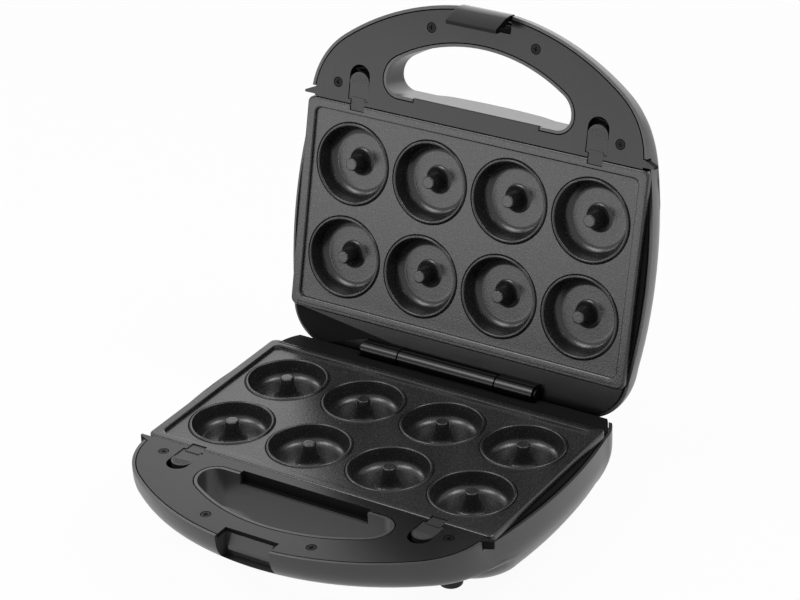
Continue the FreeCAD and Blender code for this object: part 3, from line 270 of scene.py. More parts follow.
class Nodes:
    """A shader's node tree that is built node by node."""

    def __init__(self, tree):
        self.tree = tree

    def add(self, kind, settings=None, sockets=None, output=0):
        """Add a node of a type, set its settings, then feed its sockets with values or signals."""
        node = self.tree.nodes.new(kind)
        for name, value in (settings or {}).items():
            if name == "stops":
                self.set_stops(node.color_ramp, value)
            else:
                setattr(node, name, value)
        for name, value in (sockets or {}).items():
            self.feed(node.inputs[name], value)
        return Signal(self, node.outputs[output])

    def feed(self, socket, value):
        """Link a signal to a socket, or set the socket to a value."""
        if isinstance(value, Signal):
            self.tree.links.new(value.socket, socket)
        else:
            socket.default_value = value

    @staticmethod
    def set_stops(ramp, stops):
        """Give a colour ramp its stops, each a place and a grey level."""
        while len(ramp.elements) < len(stops):
            ramp.elements.new(1)
        for element, (place, level) in zip(ramp.elements, stops):
            element.position = place
            element.color = (level, level, level, 1)


class Finish(Nodes):
    """A material on Object coordinates."""

    def __init__(self, name):
        self.material = bpy.data.materials.new(name)
        self.material.use_nodes = True
        super().__init__(self.material.node_tree)
        self.surface = self.tree.nodes["Principled BSDF"]
        self.spot = self.add("ShaderNodeTexCoord", output="Object")

    def noise(self, size, detail=2.0, stretch=None):
        """Cloudy pattern with patches of about a size in metres, from 0 to 1."""
        where = self.spot
        if stretch:
            where = self.add("ShaderNodeMapping", None, {"Vector": self.spot, "Scale": stretch})
        sockets = {"Vector": where, "Scale": 1 / size, "Detail": detail}
        return self.add("ShaderNodeTexNoise", None, sockets)

    def cells(self, size, output="Distance"):
        """Cells of about a size in metres: the distance from a cell's middle, or its colour."""
        sockets = {"Vector": self.spot, "Scale": 1 / size}
        return self.add("ShaderNodeTexVoronoi", None, sockets, output)

    def ramp(self, value, *stops):
        """A value sent through a colour ramp."""
        return self.add("ShaderNodeValToRGB", {"stops": stops}, {"Fac": value})

    def mixed(self, factor, first, second):
        """Colour between two colours."""
        colours = {0: factor, 6: rgba(first), 7: rgba(second)}
        return self.add("ShaderNodeMix", {"data_type": "RGBA"}, colours, 2)

    def relief(self, height, depth):
        """Surface normal from a pattern of heights whose full range is a depth in metres."""
        sockets = {"Height": height, "Distance": depth, "Strength": 1.0}
        return self.add("ShaderNodeBump", None, sockets)

    def done(self, **sockets):
        """Feed the surface's sockets, named with _ for a space, and end the material."""
        for name, value in sockets.items():
            self.feed(self.surface.inputs[name.replace("_", " ")], rgba(value))
        return self.material


def rgba(value):
    """A colour of three numbers as four, anything else as it is."""
    if hasattr(value, "__len__") and len(value) == 3:
        return (*value, 1)
    return value


def toned(colour, factor):
    """A colour made darker or lighter."""
    return [level * factor for level in colour]


def moulded_finish(name, colour, rough, grain, grain_depth, metallic=0.0, shine=0.5):
    """Moulded plastic: spark-eroded grain, faint flow clouds and slightly uneven gloss."""
    finish = Finish(name)
    clouds = finish.noise(30 * MM, 3)
    pits = finish.noise(grain, 2)
    patches = clouds * 0.6 + pits * 0.4
    return finish.done(
        Base_Color=finish.mixed(patches, toned(colour, 0.86), toned(colour, 1.14)),
        Roughness=rough - 0.04 + clouds * 0.05 + pits * 0.03,
        Metallic=metallic,
        Specular_IOR_Level=shine,
        Normal=finish.relief(pits, grain_depth),
    )


def coating_finish(settings):
    """Non-stick coating: dark, speckled with bright flecks, with a fine orange-peel surface."""
    finish = Finish("speckled_coating")
    cell = 1 * MM
    round_fleck = finish.ramp(finish.cells(cell), (0.0, 1.0), (0.45, 0.0))
    chosen = finish.ramp(finish.cells(cell, "Color"), (0.6, 0.0), (0.95, 1.0))
    flecks = round_fleck * chosen
    peel = finish.noise(1.1 * MM, 3)
    clouds = finish.noise(20 * MM, 3)
    ground = finish.mixed(clouds, toned(settings.coating, 0.8), toned(settings.coating, 1.25))
    return finish.done(
        Base_Color=finish.mixed(flecks * 0.8, ground, settings.fleck),
        Roughness=settings.coating_rough + peel * 0.1 - flecks * 0.1,
        Normal=finish.relief(peel + flecks * 0.3, 0.06 * MM),
    )


def metal_finish(name, colour, rough, stretch):
    """Drawn or brushed metal with lines along one direction."""
    finish = Finish(name)
    lines = finish.noise(0.8 * MM, 4, stretch)
    stains = finish.noise(12 * MM, 3)
    return finish.done(
        Base_Color=finish.mixed(stains * 0.7 + lines * 0.3, toned(colour, 0.75), colour),
        Roughness=rough + lines * 0.15,
        Metallic=1.0,
        Normal=finish.relief(lines, 0.02 * MM),
    )


def rubber_finish(settings):
    """Matt rubber with a fine, slightly dusty skin."""
    finish = Finish("matt_rubber")
    skin = finish.noise(0.5 * MM, 3)
    dust = finish.noise(6 * MM, 4)
    dusty = [level + 0.02 for level in settings.rubber]
    return finish.done(
        Base_Color=finish.mixed(dust * 0.5, settings.rubber, dusty),
        Roughness=0.72 + skin * 0.15,
        Normal=finish.relief(skin, 0.06 * MM),
    )


def ceramic_finish(settings):
    """Dense white ceramic with a few darker grains."""
    finish = Finish("white_ceramic")
    grain = finish.noise(1.2 * MM, 4)
    return finish.done(
        Base_Color=finish.mixed(grain, toned(settings.ceramic, 0.85), settings.ceramic),
        Roughness=0.45 + grain * 0.2,
        Normal=finish.relief(grain, 0.04 * MM),
    )


def braid_finish(settings):
    """Woven sleeve of the inner leads."""
    finish = Finish("woven_sleeve")
    weave = finish.cells(0.7 * MM)
    return finish.done(
        Base_Color=finish.mixed(weave, settings.braid, toned(settings.braid, 0.55)),
        Roughness=0.8 + weave * 0.1,
        Normal=finish.relief(1 - weave, 0.2 * MM),
    )


def lens_finish(name, colour):
    """Tinted lamp lens with a faint frost."""
    finish = Finish(name)
    frost = finish.noise(0.9 * MM, 3)
    return finish.done(
        Base_Color=finish.mixed(frost, toned(colour, 0.6), colour),
        Roughness=0.12 + frost * 0.12,
        Normal=finish.relief(frost, 0.03 * MM),
    )


def board_finish(settings):
    """Laminate board with copper tracks under its green lacquer."""
    finish = Finish("board_laminate")
    weave = finish.noise(0.9 * MM, 2)
    tracks = finish.ramp(finish.noise(5 * MM, 0), (0.48, 0.0), (0.52, 1.0))
    return finish.done(
        Base_Color=finish.mixed(tracks * 0.5 + weave * 0.3, settings.board, settings.track),
        Roughness=0.35 + weave * 0.15,
        Normal=finish.relief(tracks, 0.05 * MM),
    )


MATERIALS = {}


def finishes(context):
    """The maker's materials by name, made once."""
    if not MATERIALS:
        settings = context.scene.ring_cake_maker.finishes
        MATERIALS.update(plastic_finishes(settings))
        MATERIALS.update(metal_finishes(settings))
        MATERIALS.update({
            "coating": coating_finish(settings),
            "ceramic": ceramic_finish(settings),
            "braid": braid_finish(settings),
            "rubber": rubber_finish(settings),
            "power": lens_finish("red_lens", settings.power),
            "ready": lens_finish("green_lens", settings.ready),
            "board": board_finish(settings),
        })
    return MATERIALS


def plastic_finishes(settings):
    """Moulded plastics: housings, frames outside and inside, latches and clasp."""
    return {
        "housing": moulded_finish(
            "satin_grey_housing", settings.housing, settings.housing_rough,
            grain=0.5 * MM, grain_depth=0.03 * MM, metallic=0.3),
        "panel": moulded_finish(
            "black_frame", settings.panel, settings.panel_rough,
            grain=0.6 * MM, grain_depth=0.02 * MM, shine=0.3),
        "inner": moulded_finish(
            "dull_inner_frame", settings.panel, settings.inner_rough,
            grain=0.8 * MM, grain_depth=0.04 * MM, shine=0.12),
        "latch": moulded_finish(
            "black_latch", settings.latch, settings.latch_rough,
            grain=0.4 * MM, grain_depth=0.04 * MM),
        "clasp": moulded_finish(
            "black_clasp", settings.panel, settings.clasp_rough,
            grain=0.8 * MM, grain_depth=0.01 * MM, shine=0.25),
    }


def metal_finishes(settings):
    """Metals, by the roughness and the direction of their lines."""
    even = (1, 1, 1)
    along_x = (0.05, 1, 1)
    return {
        "sheet": metal_finish("bright_sheet", settings.steel, 0.2, along_x),
        "heater": metal_finish("heater_sheath", settings.heater, 0.4, even),
        "screw": metal_finish("black_zinc", settings.zinc, 0.35, even),
    }


def add_object(name, data):
    """A new object in the scene."""
    made = bpy.data.objects.new(name, data)
    bpy.context.scene.collection.objects.link(made)
    return made


def new_piece(name, mesh, material):
    """A new object that has only one material."""
    piece = add_object(name, mesh)
    piece.data.materials.clear()
    piece.data.materials.append(material)
    return piece


def baked(piece):
    """Replace a piece's mesh by what its modifiers make of it, and drop the modifiers."""
    evaluated = piece.evaluated_get(bpy.context.evaluated_depsgraph_get())
    mesh = bpy.data.meshes.new_from_object(evaluated)
    piece.modifiers.clear()
    piece.data = mesh
    return piece


def place_piece(piece, *nodes):
    """Let a piece stand for its nodes: it rides on their body, and the nodes are hidden."""
    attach(piece, frame["nodes"][nodes[0]]["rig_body"])
    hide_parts(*nodes)
    return piece


def welded_copy(node):
    """The node's surface as one welded mesh with its flat faces joined."""
    source = frame["nodes"][node].data
    mesh = bpy.data.meshes.new(node + "_welded")
    corners = [tuple(vertex.co) for vertex in source.vertices]
    mesh.from_pydata(corners, [], [tuple(face.vertices) for face in source.polygons])
    form = bmesh.new()
    form.from_mesh(mesh)
    bmesh.ops.remove_doubles(form, verts=form.verts, dist=WELD)
    bmesh.ops.dissolve_limit(form, angle_limit=FLAT_ANGLE, verts=form.verts, edges=form.edges)
    return form_to_mesh(form, mesh)


def shaded(piece):
    """Smooth shading that stays flat on the large flat faces."""
    piece.data.shade_smooth()
    piece.data.set_sharp_from_angle(angle=SMOOTH_ANGLE)
    weight = piece.modifiers.new("Shading", "WEIGHTED_NORMAL")
    weight.keep_sharp = True
    weight.weight = SHADING_WEIGHT
    return baked(piece)


def dress(node, material, rounding):
    """A welded, rounded and smoothly shaded piece that stands for a node."""
    piece = new_piece(node + "_dressed", welded_copy(node), material)
    edge = piece.modifiers.new("Rounding", "BEVEL")
    edge.width = rounding
    edge.segments = BEVEL_SEGMENTS
    edge.limit_method = "ANGLE"
    edge.angle_limit = SMOOTH_ANGLE
    baked(piece)
    return place_piece(shaded(piece), node)


def paint_faces(piece, half, material, chosen):
    """Give a second material to the faces whose middle, in the half's frame, passes a test."""
    piece.data.materials.append(material)
    back = HALVES[half].inverted()
    for face in piece.data.polygons:
        if chosen(back @ face.center):
            face.material_index = 1


def arc(centre_r, centre_z, radius, start, end, steps):
    """Points on an arc of a profile, from one angle in degrees to another."""
    points = []
    for step in range(steps + 1):
        turn = math.radians(start + (end - start) * step / steps)
        points.append((centre_r + radius * math.cos(turn), centre_z + radius * math.sin(turn)))
    return points


# Steps along and up or down that soften the rim's slope at its foot and at its shoulder.
SLOPE_FOOT = [(0.3 * MM, 0.08 * MM)]
SLOPE_SHOULDER = [(0.8 * MM, 0.4 * MM), (0.3 * MM, 0.1 * MM)]


class PlateForm:
    """Heights and outlines of a plate in its half's frame."""

    def __init__(self, shape):
        self.shape = shape
        low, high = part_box("base_plate")
        self.half = high.x
        self.rear = high.y - HINGE_SPOT.y
        self.front = low.y - HINGE_SPOT.y
        self.rim = high.z - HINGE_SPOT.z
        self.bottom = low.z - HINGE_SPOT.z
        self.land = self.rim - shape.rim_height
        self.floor = self.land - shape.cup_depth
        self.seat = self.land - shape.edge_depth
        self.middle = (self.rear + self.front) / 2
        self.mouth = shape.cup_radius + shape.bead_width + shape.moat_width

    def cup_profile(self):
        """Upper surface of a cup from the post's middle to the land, as (radius, height)."""
        shape = self.shape
        crown = self.rim - shape.post_drop
        edge = shape.post_edge
        flare = shape.post_foot - shape.post_waist
        low = shape.cup_radius - shape.cup_draft
        fillet = shape.cup_fillet
        bead = shape.bead_width / 2
        # The post's flat top, its rounded edge and its flared foot
        points = [(0, crown), (shape.post_top - 2 * edge, crown)]
        points += arc(shape.post_top - edge, crown - edge, edge, 90, 8, steps=5)
        for r, z in arc(0, 0, 1, 186, 270, steps=10):
            points.append((shape.post_foot + flare * r, self.floor + shape.post_rise * (1 + z)))
        # The rounding up to the wall, the bead and the fine line outside it
        points += arc(low - fillet, self.floor + fillet, fillet, 270, 355, steps=12)
        for r, z in arc(0, 0, 1, 180, 0, steps=10):
            points.append((shape.cup_radius + bead * (1 + r), self.land + shape.bead_height * z))
        points.append((self.mouth - shape.moat_width / 2, self.land - shape.moat_depth))
        points.append((self.mouth, self.land))
        return points

    def under_profile(self):
        """Under surface of a cup from the seat's underside to the middle."""
        shape = self.shape
        outer = shape.cup_radius + shape.wall
        low = outer - shape.cup_draft
        fillet = shape.cup_fillet + shape.wall
        points = [(outer, self.seat)]
        points += reversed(arc(low - fillet, self.bottom + fillet, fillet, 270, 355, steps=10))
        points.append((0, self.bottom))
        return points

    def places(self):
        """Middles of the cups."""
        shape = self.shape
        for row in range(shape.rows):
            for column in range(shape.columns):
                x = (column - (shape.columns - 1) / 2) * shape.pitch_x
                y = self.middle + (row - (shape.rows - 1) / 2) * shape.pitch_y
                yield Vector((x, y, 0))

    def ring(self, inset, height):
        """Rounded rectangle at an inset from the plate's edge."""
        radius = self.shape.corner
        points = []
        corners = [(1, 1, 0), (-1, 1, 90), (-1, -1, 180), (1, -1, 270)]
        for side, end, start in corners:
            x = side * (self.half - inset - radius)
            y = (self.rear - inset - radius) if end > 0 else (self.front + inset + radius)
            bend = arc(x, y, radius, start, start + 90, steps=8)
            points += [Vector((px, py, height)) for px, py in bend]
        return points

    def rim_levels(self):
        """Inset and height of the rings from the land over the rim to the underside."""
        shape = self.shape
        crest = shape.rim_width
        foot = shape.rim_width + shape.rim_slope
        rounding = shape.rim_round
        chamfer = shape.edge_chamfer
        levels = [(foot, self.land)]
        levels += [(foot - along, self.land + up) for along, up in SLOPE_FOOT]
        levels += [(crest + along, self.rim - down) for along, down in SLOPE_SHOULDER]
        levels += [(crest, self.rim), (2 * rounding, self.rim)]
        for r, z in arc(0, 0, rounding, 90, 0, steps=5):
            levels.append((rounding - r, self.rim - rounding + z))
        levels += [(0, self.seat + chamfer), (chamfer, self.seat), (shape.ledge, self.seat)]
        return levels


def circle(centre, radius, height):
    """Points of a level circle."""
    points = []
    for step in range(CUP_SEGMENTS):
        turn = 2 * math.pi * step / CUP_SEGMENTS
        x = centre.x + radius * math.cos(turn)
        y = centre.y + radius * math.sin(turn)
        points.append(Vector((x, y, height)))
    return points


def add_loop(form, points):
    """New points of a form, in order."""
    return [form.verts.new(point) for point in points]


def bridge(form, first, second):
    """Faces between two loops of as many points."""
    count = len(first)
    for index in range(count):
        after = (index + 1) % count
        form.faces.new((first[index], first[after], second[after], second[index]))


def turn_profile(form, profile):
    """Surface of revolution about Z of a profile that may start or end on the axis."""
    previous = None
    for radius, height in profile:
        if radius == 0:
            loop = [form.verts.new((0, 0, height))]
        else:
            loop = add_loop(form, circle(Vector((0, 0, 0)), radius, height))
        if previous:
            join_loops(form, previous, loop)
        previous = loop


def join_loops(form, first, second):
    """Faces between two loops, of which one may be a single point on the axis."""
    if len(first) == 1 or len(second) == 1:
        pole, loop = (first[0], second) if len(first) == 1 else (second[0], first)
        for index in range(len(loop)):
            form.faces.new((pole, loop[index], loop[(index + 1) % len(loop)]))
    else:
        bridge(form, first, second)


def fill_around(form, outside, holes):
    """Flat face between an outer loop and the loops of its holes."""
    edges = []
    for loop in [outside] + holes:
        for index in range(len(loop)):
            pair = (loop[index], loop[(index + 1) % len(loop)])
            edges.append(form.edges.get(pair) or form.edges.new(pair))
    bmesh.ops.triangle_fill(form, edges=edges, use_beauty=True)


def close_seams(form):
    """Weld a form's seams and turn its faces outwards."""
    bmesh.ops.remove_doubles(form, verts=form.verts, dist=WELD)
    bmesh.ops.recalc_face_normals(form, faces=form.faces)


def form_to_mesh(form, mesh):
    """Write a form to a mesh and end it."""
    form.to_mesh(mesh)
    form.free()
    return mesh


def new_mesh(form, name):
    """A form as a mesh of its own."""
    return form_to_mesh(form, bpy.data.meshes.new(name))


def plate_land(plate):
    """Rim, land and seat of a plate, with round holes where the cups go."""
    form = bmesh.new()
    loops = [add_loop(form, plate.ring(inset, height)) for inset, height in plate.rim_levels()]
    for first, second in zip(loops, loops[1:]):
        bridge(form, first, second)

    def holes(radius, height):
        return [add_loop(form, circle(spot, radius, height)) for spot in plate.places()]

    under, _ = plate.under_profile()[0]
    fill_around(form, loops[0], holes(plate.mouth, plate.land))
    fill_around(form, loops[-1], holes(under, plate.seat))
    return new_mesh(form, "plate_land")


def ring_cup(plate):
    """One cup's upper and under surface about its own middle."""
    form = bmesh.new()
    turn_profile(form, plate.cup_profile())
    turn_profile(form, plate.under_profile())
    return new_mesh(form, "ring_cup")


class Layout:
    """A geometry nodes tree that is built node by node."""

    def __init__(self, name, sockets):
        self.tree = bpy.data.node_groups.new(name, "GeometryNodeTree")
        for socket, kind in sockets:
            self.tree.interface.new_socket(
                socket, in_out="INPUT", socket_type="NodeSocket" + kind)
        self.tree.interface.new_socket(
            "Geometry", in_out="OUTPUT", socket_type="NodeSocketGeometry")
        self.source = self.tree.nodes.new("NodeGroupInput").outputs

    def add(self, kind, inputs, **settings):
        """Add a node, set its settings, then link its inputs to sockets or set them to values."""
        made = self.tree.nodes.new(kind)
        for name, value in settings.items():
            setattr(made, name, value)
        for name, value in inputs.items():
            if isinstance(value, bpy.types.NodeSocket):
                self.tree.links.new(value, made.inputs[name])
            else:
                made.inputs[name].default_value = value
        return made.outputs

    def maths(self, operation, first, second):
        """A Math node on two sockets or values."""
        return self.add("ShaderNodeMath", {0: first, 1: second}, operation=operation)[0]

    def done(self, geometry):
        """Make the copies real, give them the material and end the tree."""
        real = self.add("GeometryNodeRealizeInstances", {"Geometry": geometry})
        painted = self.add("GeometryNodeSetMaterial", {
            "Geometry": real[0], "Material": self.source["Material"],
        })
        self.add("NodeGroupOutput", {0: painted[0]})
        return self.tree


def grid_tree():
    """Copies of an object on a grid, joined to the geometry that the tree starts from."""
    layout = Layout("cups_on_a_grid", [
        ("Geometry", "Geometry"), ("Cup", "Object"), ("Columns", "Int"), ("Rows", "Int"),
        ("Pitch Across", "Float"), ("Pitch Along", "Float"), ("Middle", "Vector"),
        ("Material", "Material"),
    ])
    source = layout.source

    def span(count, pitch):
        return layout.maths("MULTIPLY", layout.maths("SUBTRACT", count, 1), pitch)

    grid = layout.add("GeometryNodeMeshGrid", {
        "Size X": span(source["Columns"], source["Pitch Across"]),
        "Size Y": span(source["Rows"], source["Pitch Along"]),
        "Vertices X": source["Columns"], "Vertices Y": source["Rows"],
    })
    moved = layout.add("GeometryNodeTransform", {
        "Geometry": grid["Mesh"], "Translation": source["Middle"],
    })
    cup = layout.add("GeometryNodeObjectInfo", {"Object": source["Cup"]})
    copies = layout.add("GeometryNodeInstanceOnPoints", {
        "Points": moved[0], "Instance": cup["Geometry"],
    })
    both_parts = layout.add("GeometryNodeJoinGeometry", {0: source["Geometry"]})
    layout.tree.links.new(copies[0], both_parts[0].node.inputs[0])
    return layout.done(both_parts[0])


def rib_tree():
    """Ribs side by side that fill a half disc, each as long as the disc is wide there."""
    layout = Layout("ribs_on_a_pad", [
        ("Geometry", "Geometry"), ("Rib", "Object"), ("Count", "Int"), ("Pitch", "Float"),
        ("Radius", "Float"), ("Material", "Material"),
    ])
    source = layout.source
    number = layout.add("GeometryNodeInputIndex", {})[0]
    ahead = layout.maths("MULTIPLY", layout.maths("ADD", number, 0.5), source["Pitch"])
    radius_squared = layout.maths("POWER", source["Radius"], 2)
    reach_squared = layout.maths("SUBTRACT", radius_squared, layout.maths("POWER", ahead, 2))
    reach = layout.maths("SQRT", reach_squared, 0)
    spot = layout.add("ShaderNodeCombineXYZ", {"Y": layout.maths("MULTIPLY", ahead, -1)})[0]
    size = layout.add("ShaderNodeCombineXYZ", {"X": reach, "Y": 1.0, "Z": 1.0})[0]
    points = layout.add("GeometryNodePoints", {"Count": source["Count"], "Position": spot})
    rib = layout.add("GeometryNodeObjectInfo", {"Object": source["Rib"]})
    copies = layout.add("GeometryNodeInstanceOnPoints", {
        "Points": points[0], "Instance": rib["Geometry"], "Scale": size,
    })
    return layout.done(copies[0])


def add_tree(piece, tree, values):
    """Give a piece a geometry nodes modifier with its inputs set by identifier."""
    modifier = piece.modifiers.new("Layout", "NODES")
    modifier.node_group = tree
    for item in tree.interface.items_tree:
        if item.in_out == "INPUT" and item.name in values:
            modifier[item.identifier] = values[item.name]
    return piece


def box_cutter(name, boxes):
    """Cutting object made of boxes given by their lowest and highest corners."""
    form = bmesh.new()
    for low, high in boxes:
        size = Vector(high) - Vector(low)
        middle = (Vector(high) + Vector(low)) / 2
        place = Matrix.Translation(middle) @ Matrix.Diagonal((*size, 1))
        bmesh.ops.create_cube(form, size=1, matrix=place)
    return add_object(name, new_mesh(form, name))


def cut(piece, cutter):
    """Take a cutting object out of a piece, then remove the cutter."""
    modifier = piece.modifiers.new("Cut", "BOOLEAN")
    modifier.operation = "DIFFERENCE"
    modifier.solver = "EXACT"
    modifier.object = cutter
    baked(piece)
    bpy.data.objects.remove(cutter)
    return piece


def plate_cuts(plate):
    """Boxes of the latch notches and of the two lines along the rear rim."""
    shape = plate.shape
    over = 2 * MM
    boxes = []
    for x in (-shape.latch_x, shape.latch_x):
        boxes.append(((x - shape.notch_half, plate.front - over, plate.seat - over),
                      (x + shape.notch_half, plate.front + shape.notch_depth, plate.rim + over)))
    reach = plate.half - shape.rim_width
    for lane in (1, 3):
        start = plate.rear - (lane + 1) * shape.groove
        boxes.append(((-reach, start, plate.rim - shape.groove_depth),
                      (reach, start + shape.groove, plate.rim + over)))
    return boxes


def cooking_plate(half, shape, material):
    """One cast plate with its field of ring cups, in its place on a half."""
    plate = PlateForm(shape)
    cup = add_object("ring_cup", ring_cup(plate))
    node = half + "_plate"
    piece = new_piece(node + "_dressed", plate_land(plate), material)
    add_tree(piece, grid_tree(), {
        "Cup": cup, "Columns": shape.columns, "Rows": shape.rows, "Pitch Across": shape.pitch_x,
        "Pitch Along": shape.pitch_y, "Middle": (0, plate.middle, 0), "Material": material,
    })
    baked(piece)
    bpy.data.objects.remove(cup)
    form = bmesh.new()
    form.from_mesh(piece.data)
    close_seams(form)
    form_to_mesh(form, piece.data)
    cut(piece, box_cutter("plate_cutter", plate_cuts(plate)))
    piece.data.transform(HALVES[half])
    return place_piece(shaded(piece), node)


# Places along a rib of unit half length, with the share of its height that it has there.
RIB_ROWS = [(-1, 0.1), (-0.94, 1), (0.94, 1), (1, 0.1)]


def rib_mesh(grip):
    """A low rib of unit half length along X with a rounded back and sloped ends."""
    form = bmesh.new()
    back = arc(0, 0, 1, 180, 0, steps=6)
    section = [(y * grip.rib_width / 2, z * grip.rib_height) for y, z in back]
    rows = []
    for x, rise in RIB_ROWS:
        rows.append(add_loop(form, [Vector((x, y, z * rise)) for y, z in section]))
    for first, second in zip(rows, rows[1:]):
        bridge(form, first, second)
    form.faces.new(rows[0])
    form.faces.new(reversed(rows[-1]))
    close_seams(form)
    return new_mesh(form, "grip_rib")


def latch_grip(half, node, grip, material):
    """Ribs on the round end of a plate latch."""
    rib = add_object("grip_rib", rib_mesh(grip))
    piece = new_piece(node + "_grip", bpy.data.meshes.new(node + "_grip"), material)
    add_tree(piece, rib_tree(), {
        "Rib": rib, "Count": grip.ribs, "Pitch": grip.pitch, "Radius": grip.pad - grip.edge,
        "Material": material,
    })
    baked(piece)
    bpy.data.objects.remove(rib)
    low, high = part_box("base_right_latch")
    across = sum(corner.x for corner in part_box(node)) / 2
    side = HALVES[half].to_3x3().inverted() @ Vector((across, 0, 0))
    spot = Vector((side.x, low.y - HINGE_SPOT.y + grip.pad, high.z - HINGE_SPOT.z))
    piece.data.transform(HALVES[half] @ Matrix.Translation(spot))
    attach(shaded(piece), frame["nodes"][node]["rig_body"])
    return piece


def latch_spring(half, side, rounding, material):
    """A leaf spring of a plate latch, dressed, with a mesh of its own."""
    latch = half + "_" + side + "_latch"
    piece = dress(half + "_" + side + "_spring", material, rounding)
    slide = next(joint for joint in frame["joints"] if joint["name"] == latch + "_slide")
    low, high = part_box("base_left_spring")
    keep = 1 - max(slide["range_m"]) / (high.y - low.y)
    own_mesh(piece)


class PieceOperator:
    """What the operators that make pieces share."""

    bl_options = {"REGISTER", "UNDO"}

    def dress_all(self, context, nodes, material, edge):
        """Dress nodes with a finish and an edge rounding, both by name."""
        rounding = getattr(context.scene.ring_cake_maker.edges, edge)
        for node in nodes:
            dress(node, finishes(context)[material], rounding)


def both(part):
    """Names of a part that each half has."""
    return ["base_" + part, "lid_" + part]


class RINGCAKE_OT_housings(PieceOperator, bpy.types.Operator):
    """Outer housings of the base and the lid"""

    bl_idname = "ringcake.housings"
    bl_label = "Housings"

    def execute(self, context):
        self.dress_all(context, both("shell"), "housing", "housing")
        return {"FINISHED"}


class RINGCAKE_OT_frames(PieceOperator, bpy.types.Operator):
    """Black inner frames with the handle panels"""

    bl_idname = "ringcake.frames"
    bl_label = "Inner frames"

    def execute(self, context):
        settings = context.scene.ring_cake_maker
        surfaces = finishes(context)
        edge = PlateForm(settings.plate).front

        def is_inner(spot):
            on_panel = spot.z > -settings.panel_depth and spot.y < edge
            on_barrel = math.hypot(spot.y, spot.z) < settings.barrel_reach
            return not (on_panel or on_barrel)

        for half in HALVES:
            piece = dress(half + "_frame", surfaces["panel"], settings.edges.panel)
            paint_faces(piece, half, surfaces["inner"], is_inner)
        return {"FINISHED"}


class RINGCAKE_OT_plates(PieceOperator, bpy.types.Operator):
    """Cast plates with their ring cups"""

    bl_idname = "ringcake.plates"
    bl_label = "Cooking plates"

    def execute(self, context):
        shape = context.scene.ring_cake_maker.plate
        for half in HALVES:
            cooking_plate(half, shape, finishes(context)["coating"])
        return {"FINISHED"}


class RINGCAKE_OT_latches(PieceOperator, bpy.types.Operator):
    """Plate latches with their springs, and the clasp"""

    bl_idname = "ringcake.latches"
    bl_label = "Latches and clasp"

    def execute(self, context):
        self.dress_all(context, both("left_latch") + both("right_latch"), "latch", "small")
        self.dress_all(context, ["clasp"], "clasp", "small")
        settings = context.scene.ring_cake_maker
        surfaces = finishes(context)
        for half in HALVES:
            for side in ("left", "right"):
                latch_grip(half, half + "_" + side + "_latch", settings.grip, surfaces["latch"])
                latch_spring(half, side, settings.edges.fine, surfaces["screw"])
        return {"FINISHED"}


class RINGCAKE_OT_heating(PieceOperator, bpy.types.Operator):
    """Pans, heaters, controls and leads inside both halves"""

    bl_idname = "ringcake.heating"
    bl_label = "Heating parts"

    def execute(self, context):
        self.dress_all(context, both("reflector") + both("heater_clips"), "sheet", "fine")
        self.dress_all(context, both("heater"), "heater", "fine")
        self.dress_all(context, both("heater_terminals") + ["terminal_block"], "ceramic", "small")
        self.dress_all(context, ["thermostat", "thermal_fuse"], "sheet", "fine")
        self.dress_all(context, both("wiring"), "braid", "fine")
        return {"FINISHED"}


class RINGCAKE_OT_fasteners(PieceOperator, bpy.types.Operator):
    """Screws and pins"""

    bl_idname = "ringcake.fasteners"
    bl_label = "Screws and pins"

    def execute(self, context):
        self.dress_all(context, both("screws"), "screw", "fine")
        self.dress_all(context, ["hinge_pin", "clasp_pin"], "screw", "small")
        return {"FINISHED"}


class RINGCAKE_OT_rubbers(PieceOperator, bpy.types.Operator):
    """Feet and cord inlet"""

    bl_idname = "ringcake.rubbers"
    bl_label = "Feet and inlet"

    def execute(self, context):
        feet = [end + side + "_foot" for end in ("front_", "rear_") for side in ("left", "right")]
        self.dress_all(context, feet + ["cord_inlet"], "rubber", "small")
        return {"FINISHED"}


class RINGCAKE_OT_lamps(PieceOperator, bpy.types.Operator):
    """Indicator lenses and their board in the lid"""

    bl_idname = "ringcake.lamps"
    bl_label = "Indicator lamps"

    def execute(self, context):
        self.dress_all(context, ["power_lens"], "power", "small")
        self.dress_all(context, ["ready_lens"], "ready", "small")
        self.dress_all(context, ["lamp_board"], "board", "fine")
        return {"FINISHED"}


def seen_rays(nodes):
    """One for rays from the camera and those that gloss or glass sends on, zero for the rest."""
    path = nodes.add("ShaderNodeLightPath").socket.node
    seen = Signal(nodes, path.outputs["Is Camera Ray"])
    for kind in ("Is Glossy Ray", "Is Transmission Ray"):
        seen = seen.maths("MAXIMUM", seen, Signal(nodes, path.outputs[kind]))
    return seen


def floor_finish(stage):
    """Pale floor that is seen lifted to white, with a faint shadow left."""
    finish = Finish("pale_floor")
    sheen = finish.noise(0.4, 2)
    pale = finish.mixed(sheen, toned(stage.floor, 0.98), stage.floor)
    finish.done(Base_Color=pale, Roughness=0.8 + sheen * 0.1)
    glow = finish.add("ShaderNodeEmission", None, {"Color": (1, 1, 1, 1), "Strength": 1.0})
    surface = Signal(finish, finish.surface.outputs[0])
    seen = seen_rays(finish) * stage.lift
    lifted = finish.add("ShaderNodeMixShader", None, {0: seen, 1: surface, 2: glow})
    finish.feed(finish.tree.nodes["Material Output"].inputs["Surface"], lifted)
    return finish.material


def add_floor(stage):
    """Square floor round the origin."""
    half = stage.floor_half
    corners = [(-half, -half, 0), (half, -half, 0), (half, half, 0), (-half, half, 0)]
    mesh = bpy.data.meshes.new("floor")
    mesh.from_pydata(corners, [], [(0, 1, 2, 3)])
    new_piece("floor", mesh, floor_finish(stage))


